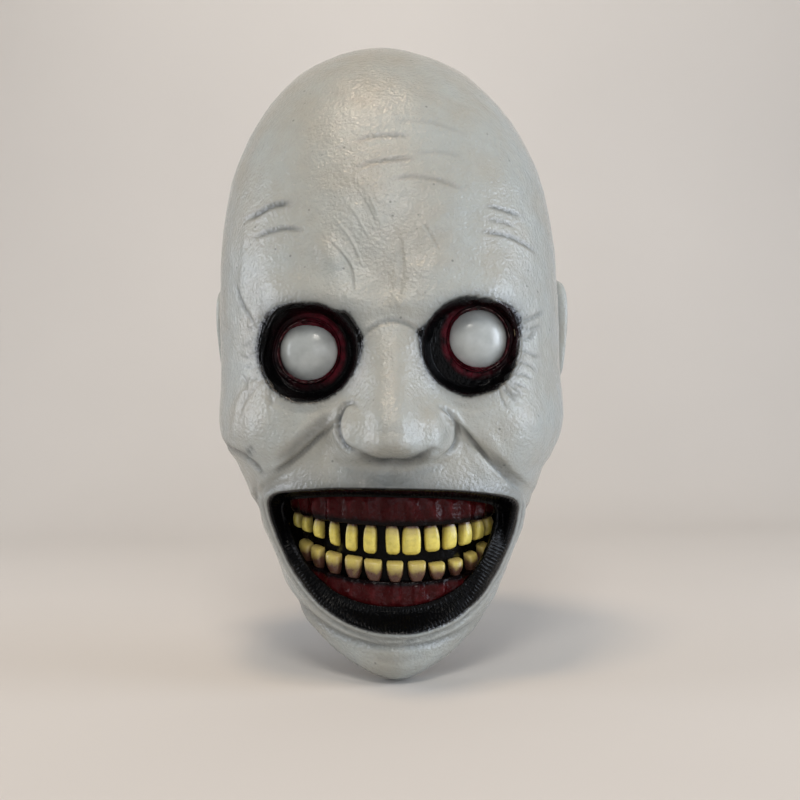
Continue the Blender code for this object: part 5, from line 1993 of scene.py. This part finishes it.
@dataclass(frozen=True)
class Eye:
    """One eye: the blank dome, and the fleshy lid ring that hugs it."""

    sockets: SocketForm
    index: int
    wall: float = 0.0022
    gap: float = 0.0003
    shown_radius: float = 0.0138
    side_room: float = 0.0011
    dome_radius: float = 0.0153
    dome_bulge: float = 0.0108
    dome_centre: float = 0.0046
    shell: float = 0.0016
    bead: float = 0.0013
    droops: Pair = (0.0015, 0.0002)
    flange: float = 0.0014
    flange_width: float = 0.0026
    rim_width: float = 0.0004
    segments: int = 180
    dome_segments: int = 96
    crest_points: int = 21
    # Folds across the lid, the spread of its droop in radians, and the share of painted shade, in the deeper colour, at
    # the dome's edge under the lid
    folds: int = 4
    droop_spread: float = 0.85
    dome_shade: float = 0.3

    def dome_depth(self, radius: Array) -> Array:
        """Return how deep the dome's outside lies at distances from the eye's axis."""
        return self.dome_centre - self.dome_bulge * np.sqrt(1.0 - (radius / self.dome_radius) ** 2)

    def fleshy(self, angle: Array) -> Array:
        """Return 1 where the lid is thick and red, towards the nose, falling to 0 on the other side."""
        outward = angle if SIDES[self.index][1] > 0 else math.pi - angle
        return smooth_step(-0.3, 0.9, np.cos(outward - math.radians(self.sockets.fleshy_sides[self.index])))

    def lid_section(self, angle: float) -> Array:
        """Shape the lid at an angle.

        Args:
            angle: The angle about the eye, from the right.

        Returns:
            Its closed section, as pairs of radius and depth.
        """
        side = SIDES[self.index][1]
        fleshy = float(self.fleshy(np.array(angle)))
        barrel, back = self.sockets.opening_radius - self.gap, self.wall + self.gap
        ripple = 0.5 * math.sin(9 * angle + side) + 0.4 * math.sin(23 * angle) + 0.3 * math.sin(41 * angle + 2.0)
        droop = self.droops[self.index] * bell(from_heading(angle, math.pi / 2), self.droop_spread)
        edge = self.shown_radius + self.side_room * math.cos(angle) ** 2 - droop
        edge = edge - 0.0003 * fleshy + 0.0001 * ripple
        share = np.linspace(0.0, 1.0, self.crest_points)
        crest = self.bead * (0.5 + 0.7 * fleshy + 0.22 * ripple) * np.sin(math.pi * share) ** 0.8
        folds = np.cos(2 * math.pi * self.folds * share + 2.0 * math.sin(2 * angle + side))
        crest = crest * (1.0 + (0.22 + 0.33 * fleshy) * folds)
        lip = float(self.dome_depth(edge)) - 2 * self.gap
        front = np.stack([barrel + (edge - barrel) * share, lip * share**1.5 - crest], 1)
        beneath = np.linspace(edge, self.dome_radius - self.gap, 6)
        under = np.stack([beneath, self.dome_depth(beneath) - self.gap], 1)
        inner, flange = self.dome_radius + self.gap / 3, self.sockets.opening_radius + self.flange_width
        seat = back + self.flange
        behind = [(inner, seat), (flange, seat), (flange, back), (barrel, back)]
        return np.concatenate([front, under, behind])

    def build_lid(self, finish: Material) -> Piece:
        """Build the lid ring, with folds towards the nose and a pale line along its crest on the other side.

        Args:
            finish: The lid's paint.

        Returns:
            The lid.
        """
        name, _ = SIDES[self.index]
        matrix = self.sockets.eye_matrix(self.index)
        angles = np.linspace(0.0, 2 * math.pi, self.segments, endpoint=False)
        sections = [self.lid_section(float(angle)) for angle in angles]
        rows = [
            [matrix @ Vector((r * math.cos(a), d, r * math.sin(a))) for r, d in section]
            for a, section in zip(angles, sections)
        ]
        bm = bmesh.new()
        add_rows(bm, rows, Ends.JOINED)
        count = len(sections[0])
        angle, number = np.repeat(angles, count), np.tile(np.arange(count), len(angles))
        fleshy = self.fleshy(angle)
        at = 8.0 + 2.0 * np.sin(3 * angle) + 1.2 * np.sin(11 * angle)
        broken = 0.55 + 0.45 * np.sin(7 * angle + 1.0) * np.sin(17 * angle)
        crest = self.crest_points - 1
        folds = np.cos(2 * math.pi * self.folds * number / crest + 2.0 * np.sin(2 * angle))
        line = bell(number - at, 1.3) * (1.0 - 0.85 * fleshy) + 0.45 * fleshy * smooth_step(-0.6, -1.0, folds)
        deep = np.where(number >= crest, 0.9, 0.85 * (1.0 - fleshy) + 0.35 * (1.0 + folds) * fleshy)
        return add_piece(
            f"{name}_lid_ring", bm, finish, "red_latex", f"{name}_eyelid", 70.0, worn=line * broken, deep=deep
        )

    def build_dome(self, finish: Material) -> Piece:
        """Build the blank dome, a hollow shell with a flat rim behind the lid.

        Args:
            finish: The dome's plastic.

        Returns:
            The dome.
        """
        name, _ = SIDES[self.index]
        seat = self.wall + 2 * self.gap + self.flange
        end = math.acos((self.dome_centre - seat) / self.dome_bulge)
        inner, inner_bulge = self.dome_radius - self.shell, self.dome_bulge - self.shell
        out, back = np.linspace(0.02, end, 30), np.linspace(end, 0.02, 12)
        outside = np.stack([self.dome_radius * np.sin(out), self.dome_centre - self.dome_bulge * np.cos(out)], 1)
        inside = np.stack([inner * np.sin(back), self.dome_centre - inner_bulge * np.cos(back)], 1)
        rim = self.dome_radius + self.rim_width
        profile = np.concatenate([outside, [(rim, seat), (rim, seat + self.shell)], inside + (0.0, self.shell)])
        matrix = self.sockets.eye_matrix(self.index)
        angles = np.linspace(0.0, 2 * math.pi, self.dome_segments, endpoint=False)
        rows = [[matrix @ Vector((r * math.cos(a), d, r * math.sin(a))) for a in angles] for r, d in profile]
        bm = bmesh.new()
        rings = add_rows(bm, rows)
        cap(bm, rings[0][::-1], matrix @ Vector((0.0, self.dome_centre - self.dome_bulge, 0.0)))
        cap(bm, rings[-1], matrix @ Vector((0.0, self.dome_centre - inner_bulge + self.shell, 0.0)))
        radius = np.append(np.repeat(profile[:, 0], len(angles)), (0.0, 0.0))
        # Painted shade: the dome is darker past its shown edge, where it passes under the lid
        deep = self.dome_shade * smooth_step(0.95 * self.shown_radius, 1.05 * self.shown_radius, radius)
        return add_piece(f"{name}_blank_eye", bm, finish, "white_dome", f"{name}_eyeball", 60.0, deep=deep)


@dataclass(frozen=True)
class DentalRow:
    """One row of teeth and its gum: the gum lies on the lining, and the teeth stand out of it."""

    name: str
    mouth: MouthForm
    direction: int
    line: float
    rise: float
    pitch: float
    shift: float
    widths: tuple[float, ...]
    lengths: tuple[float, ...]
    crown: Points
    dark_roots: Pair
    scallop: float
    thickness: float = 0.0055
    lip_wall: float = 0.0022
    gap: float = 0.0003
    cover: float = 0.005
    end: float = 0.0055
    bulge: float = 0.0012
    crinkle: float = 0.00042
    gum_stations: int = 181
    tooth_points: int = 36
    # How far a tooth may be twisted, leaned over and squared off, as if set by hand
    by_hand: Triple = (0.1, 0.055, 0.08)

    def runs(self) -> Array:
        """Return where the teeth stand along the arch."""
        count = len(self.widths)
        return self.shift + self.pitch * (np.arange(count) - (count - 1) / 2)

    def level(self, run: Array) -> Array:
        """Return the height where the teeth leave their gum."""
        return self.line + self.rise * (2.0 * run / (self.pitch * (len(self.widths) - 1))) ** 2

    def build_gum(self, finish: Material) -> Piece:
        """Build the gum, with a swelling over each root, crinkled paint, and a painted highlight along each swelling.

        Args:
            finish: The gum's paint.

        Returns:
            The gum.
        """
        back, front = -self.thickness, self.mouth.lip_offset - self.lip_wall - 2 * self.gap
        half = self.pitch * (len(self.widths) - 1) / 2 + self.end
        stations = np.linspace(-half, half, self.gum_stations)
        roots = self.runs()
        rows, deep, worn = [], [], []
        for run in stations:
            line = float(self.level(run))
            outside = float(self.mouth.lip_level(run, self.direction > 0)) + self.direction * self.cover
            outside = self.direction * max(self.direction * outside, self.direction * line + self.cover / 2)
            near = np.abs(run - roots).min() / self.pitch
            root = math.cos(math.pi * min(near, 0.5)) ** 2
            section = spline(
                (
                    (front - 0.3 * self.thickness, outside),
                    (front, 0.3 * line + 0.7 * outside),
                    (front, 0.6 * line + 0.4 * outside),
                    (front - 0.0003, 0.9 * line + 0.1 * outside),
                    (front - 0.0012, line),
                    (back + 0.2 * self.thickness, line + 0.15 * self.direction * MM),
                ),
                7, False,
            )
            section = np.concatenate([[(back, outside)], section, [(back, line)]])
            share = np.clip((section[:, 1] - line) / (outside - line), 0.0, 1.0)
            window = smooth_step(-0.25, 0.3, share) * (1.0 - smooth_step(0.5, 0.8, share))
            window[[0, -1]] = 0.0
            places = np.stack([np.full(len(section), run), section[:, 0], section[:, 1]], 1)
            rough = grain(places * (1.0, 0.3, 0.3), 0.0022, 3.0) + 0.4 * grain(places * (1.0, 0.4, 0.4), 0.0012, 9.0)
            swell = self.bulge * (root - 0.35) + self.crinkle * rough
            x, y, _ = self.mouth.arch(np.full(len(section), run), section[:, 0] + swell * window)
            rows.append(list(np.stack([x, y, section[:, 1] - self.mouth.tilt * x], 1)))
            near_line = np.abs(section[:, 1] - line) / (self.scallop * (1.0 + 0.5 * root))
            deep.append(np.clip(1.35 - near_line, 0.0, 1.0) + 0.35 * (1.0 - root) * (1.0 - share))
            # Painted highlight: lighter red along the middle of each root swelling
            worn.append(0.6 * root * bell(share - 0.5, 0.24) * np.clip(0.5 + rough, 0.0, 1.2))
        bm = bmesh.new()
        add_rows(bm, rows, Ends.FLAT)
        return add_piece(
            f"{self.name}_swollen_gum", bm, finish, "gum_latex", f"{self.name}_gum", 75.0,
            deep=np.concatenate(deep), worn=np.concatenate(worn),
        )

    def build_teeth(self, finish: Material) -> list[Piece]:
        """Return the teeth of the row, the one on the left first."""
        return [self.build_tooth(i, finish) for i in range(len(self.widths))]

    def build_tooth(self, index: int, finish: Material) -> Piece:
        """Build one tooth: a rounded block, narrower at its root, slightly turned as if set by hand.

        Args:
            index: Its place in the row, from the left.
            finish: The teeth's paint.

        Returns:
            The tooth.
        """
        run, width, length = self.runs()[index], self.widths[index], self.lengths[index]
        x, y, heading = (float(v[0]) for v in self.mouth.arch(np.array([run]), np.array([-self.thickness])))
        rng = np.random.default_rng(100 * len(self.widths) + index)
        twist, lean_over, flat = rng.uniform(-1, 1, 3) * self.by_hand
        slope = float(self.level(run + width / 2) - self.level(run - width / 2)) / width
        slope = slope - self.mouth.tilt * math.cos(heading)
        lean = self.mouth.tilt * math.sin(heading)
        shares = np.concatenate([np.linspace(-0.12, 0.85, 16), (0.9, 0.94, 0.97, 0.99, 1.0)])
        knots, halves = np.array(self.crown).T
        turn = np.linspace(0.0, 2 * math.pi, self.tooth_points, endpoint=False)
        square = 0.62 + flat
        out = np.sign(np.cos(turn)) * np.abs(np.cos(turn)) ** square
        forth = 0.5 + 0.5 * np.sign(np.sin(turn)) * np.abs(np.sin(turn)) ** square
        place = Matrix.Translation((x, y, -self.mouth.tilt * x)) @ Matrix.Rotation(heading, 4, "Z")
        rows = []
        for share in shares:
            half = width / 2 * float(curve_through(knots, halves, np.array(share)))
            tip = math.sqrt(max(1.0 - smooth_step(0.8, 1.0, np.array(share)) ** 2, 0.0))
            depth = self.thickness * (0.8 + 0.2 * math.sin(math.pi * min(max(share, 0.0), 0.9))) * (0.45 + 0.55 * tip)
            level = float(self.level(run)) - self.direction * (self.gap + (length - self.gap) * share)
            ring = []
            for a, b in zip(out * half, -forth * depth):
                a, b = a + b * twist, b - a * twist
                a = a + lean_over * (level - float(self.level(run)))
                ring.append(place @ Vector((a, min(b, 0.0), level + slope * a + lean * b)))
            rows.append(ring)
        bm = bmesh.new()
        rings = add_rows(bm, rows)
        cap(bm, rings[0][::-1])
        cap(bm, rings[-1])
        depth = np.append(np.repeat(shares, len(turn)), (shares[0], 1.0))
        sides = np.append(np.tile(np.abs(out) * (1.0 - forth), len(shares)), (0.0, 0.0))
        full, none = self.dark_roots
        dark = 1.0 - smooth_step(full, none, depth)
        worn = 0.8 * (1.0 - smooth_step(none - 0.1, none + 0.25, depth)) * (1.0 - dark)
        number = f"tooth_{index + 1:02d}"
        return add_piece(
            f"{self.name}_cast_{number}", bm, finish, "yellow_enamel", f"{self.name}_{number}", 80.0,
            deep=dark + 0.8 * sides, worn=worn,
        )


@dataclass(frozen=True)
class MouthLining:
    """The black sheet behind the teeth."""

    mouth: MouthForm
    half_run: float
    thickness: float = 0.0055
    sheet: float = 0.0016
    margin: float = 0.005
    wing: float = 0.01
    flare: float = 0.0092
    cover_run: float = 0.048
    gap: float = 0.0003
    ripple: float = 0.0002
    columns: int = 121
    wing_columns: int = 8
    levels: int = 33
    smear_level: float = -0.0725
    smear_spread: float = 0.006
    smear: float = 0.8

    def build(self, finish: Material) -> Piece:
        """Build the lining, which flares forward at its ends to meet the lips.

        Args:
            finish: The lining's paint.

        Returns:
            The lining.
        """
        inner = np.linspace(-self.half_run, self.half_run, self.columns)
        wing = self.half_run + self.wing * np.linspace(0.1, 1.0, self.wing_columns)
        rows, worn = [], []
        for run in np.concatenate([-wing[::-1], inner, wing]):
            flare = max(abs(run) - self.half_run, 0.0) / self.wing
            front = -self.thickness - self.gap + self.flare * flare
            inward = min(max(run, -self.cover_run), self.cover_run)
            top = float(self.mouth.lip_level(inward, True)) + self.margin
            bottom = float(self.mouth.lip_level(inward, False)) - self.margin
            heights = np.linspace(top, bottom, self.levels)
            places = np.stack([np.full(self.levels, run), np.zeros(self.levels), heights], 1)
            rough = np.minimum(self.ripple * grain(places, 0.0022, 5.0), 0.0)
            offset = np.concatenate([front + rough, [front - self.sheet, front - self.sheet]])
            heights = np.concatenate([heights, [bottom, top]])
            x, y, _ = self.mouth.arch(np.full(len(heights), run), offset)
            rows.append(list(np.stack([x, y, heights - self.mouth.tilt * x], 1)))
            smear = smooth_step(0.25, 0.5, grain(np.append(places, places[-2:], 0), 0.0048, 21.0))
            worn.append(self.smear * smear * bell(heights - self.smear_level, self.smear_spread))
        bm = bmesh.new()
        add_rows(bm, rows, Ends.FLAT)
        return add_piece(
            "black_mouth_lining", bm, finish, "black_latex", "mouth_lining", 60.0, worn=np.concatenate(worn)
        )


@dataclass(frozen=True)
class Lamp:
    """A square soft lamp, which points at the face or at another target."""

    name: str
    place: Triple
    size: float
    watts: float
    tint: str
    target: Triple = (0.0, -0.02, 0.02)

    def build(self) -> None:
        """Add the lamp to the scene."""
        data = bpy.data.lights.new(self.name, "AREA")
        data.size = self.size
        data.energy = self.watts
        data.color = colour(self.tint)[:3]
        made = put_in_scene(self.name, data)
        made.location = self.place
        made.rotation_euler = (Vector(self.target) - Vector(self.place)).to_track_quat("-Z", "Y").to_euler()


@dataclass(frozen=True)
class Studio:
    """A pale sweep of floor and backdrop, and soft lamps."""

    floor_level: float
    half_width: float = 2.2
    front: float = -2.2
    bend_start: float = 0.55
    bend_radius: float = 0.5
    wall_top: float = 1.8
    # Matt background paper is even and pale, with faint clouds in its pulp
    paper: str = "#d3cfca"
    paper_clouds: float = 3.0
    paper_shade: Pair = (0.98, 1.02)
    paper_roughness: float = 0.85
    sky: str = "#c6c9ca"
    sky_strength: float = 0.38
    lamps: tuple[Lamp, ...] = (
        Lamp("overhead_softbox", (-0.14, -0.2, 1.15), 0.28, 4.8, "#ffe6ca"),
        Lamp("front_softbox", (-0.02, -0.9, 0.85), 0.32, 4.5, "#fff8f0"),
        Lamp("right_softbox", (1.05, -0.18, 0.16), 0.6, 7.6, "#e6f0ff"),
        Lamp("left_softbox", (-1.05, 0.08, 0.2), 0.55, 4.7, "#f2f6ff"),
        Lamp("low_fill", (0.16, -0.95, -0.08), 0.8, 2.9, "#f4f6ff"),
        Lamp("wall_wash", (0.0, 0.3, 1.1), 0.9, 3.6, "#fffaf4", (0.0, 1.05, 0.9)),
    )

    def paper_material(self) -> Material:
        """Mix the paper.

        Returns:
            The material.
        """
        made, tree, place, shader = start_material("matt_background_paper")
        cloud = add_node(tree, "TexNoise", {"Vector": place, "Scale": self.paper_clouds, "Detail": 2.0})
        shade = add_node(tree, "MapRange", dict(enumerate((cloud, *NOISE_SPAN, *self.paper_shade))))
        base = {0: 1.0, 6: colour(self.paper), 7: shade}
        base = add_node(tree, "Mix", base, 2, data_type="RGBA", blend_type="MULTIPLY")
        set_inputs(tree, shader, {"Base Color": base, "Roughness": self.paper_roughness})
        return made

    def build(self) -> None:
        """Add the sweep, the lamps and the sky."""
        turn = np.linspace(0.0, math.pi / 2, 17)
        curve = [
            (self.bend_start + self.bend_radius * math.sin(a), self.bend_radius * (1 - math.cos(a))) for a in turn
        ]
        line = [(self.front, 0.0), *curve, (self.bend_start + self.bend_radius, self.wall_top)]
        bm = bmesh.new()
        rows = [
            [bm.verts.new((x, y, self.floor_level + z)) for x in (-self.half_width, self.half_width)] for y, z in line
        ]
        for first, second in zip(rows, rows[1:]):
            bm.faces.new((first[0], first[1], second[1], second[0]))
        mesh = to_mesh("paper_sweep", bm)
        mesh.materials.append(self.paper_material())
        put_in_scene("paper_sweep", mesh)
        for lamp in self.lamps:
            lamp.build()
        world = bpy.data.worlds.new("sky")
        world.use_nodes = True
        sky = world.node_tree.nodes["Background"]
        set_inputs(world.node_tree, sky, {"Color": colour(self.sky), "Strength": self.sky_strength})
        bpy.context.scene.world = world


def main() -> None:
    """Build the mask's pieces in order, light them and report each piece."""
    logging.basicConfig(level=logging.INFO, format="%(name)s: %(message)s")
    bpy.context.scene.view_settings.view_transform = "Standard"
    view = PhotoView()
    view.add_camera()
    head, face = HeadForm(), FaceForm()
    painted, raw, black = CastLatex().material(), RawLatex().material(), BrushedBlack().material()
    skin = LatexSkin(head, face, FaceSculpt(), view)
    made = skin.build()
    skin.dress(made, (painted, raw, black))
    lid, dome = LID_PAINT.material(), DOME_PLASTIC.material()
    for index in range(len(SIDES)):
        made.append(Ear(head, index).build(painted))
        eye = Eye(face.sockets, index)
        made.extend((eye.build_lid(lid), eye.build_dome(dome)))
    gum, enamel = GUM_PAINT.material(), TOOTH_PAINT.material()
    upper = DentalRow(
        "upper", face.mouth, 1, line=-0.0588, rise=0.0033, pitch=0.01, shift=-0.0012,
        widths=(0.0046, 0.0036, 0.0043, 0.0038, 0.0054, 0.0060, 0.0066, 0.0088, 0.0071, 0.0066, 0.0062, 0.0060, 0.0080),
        lengths=(
            0.0080, 0.0082, 0.0094, 0.0114, 0.0129, 0.0133, 0.0133, 0.0135, 0.0124, 0.0120, 0.0112, 0.0100, 0.0096,
        ),
        crown=(
            (-0.12, 0.6), (0.0, 0.74), (0.1, 0.88), (0.3, 0.97), (0.6, 1.0), (0.8, 0.98), (0.93, 0.86), (1.0, 0.55),
        ),
        dark_roots=(-0.02, 0.2), scallop=0.0026,
    )
    lower = DentalRow(
        "lower", face.mouth, -1, line=-0.0846, rise=0.007, pitch=0.0106, shift=0.0002,
        widths=(0.0080, 0.0070, 0.0080, 0.0081, 0.0083, 0.0078, 0.0083, 0.0076, 0.0066, 0.0060, 0.0064),
        lengths=(0.0086, 0.0094, 0.0094, 0.0099, 0.0097, 0.0094, 0.0092, 0.0076, 0.0074, 0.0080, 0.0088),
        crown=(
            (-0.12, 0.5), (0.0, 0.6), (0.1, 0.72), (0.3, 0.88), (0.6, 0.98), (0.85, 1.0), (0.95, 0.97), (1.0, 0.85),
        ),
        dark_roots=(0.2, 1.1), scallop=0.0018,
    )
    for row in (upper, lower):
        made.append(row.build_gum(gum))
        made.extend(row.build_teeth(enamel))
    half_run = upper.pitch * (len(upper.widths) - 1) / 2 + upper.end
    made.append(MouthLining(face.mouth, half_run).build(LINING_PAINT.material()))
    Studio(CAD_BOX[0][2]).build()
    for piece in made:
        LOG.info("%s: %d faces", piece.name, len(piece.data.polygons))


if __name__ == "__main__":
    main()
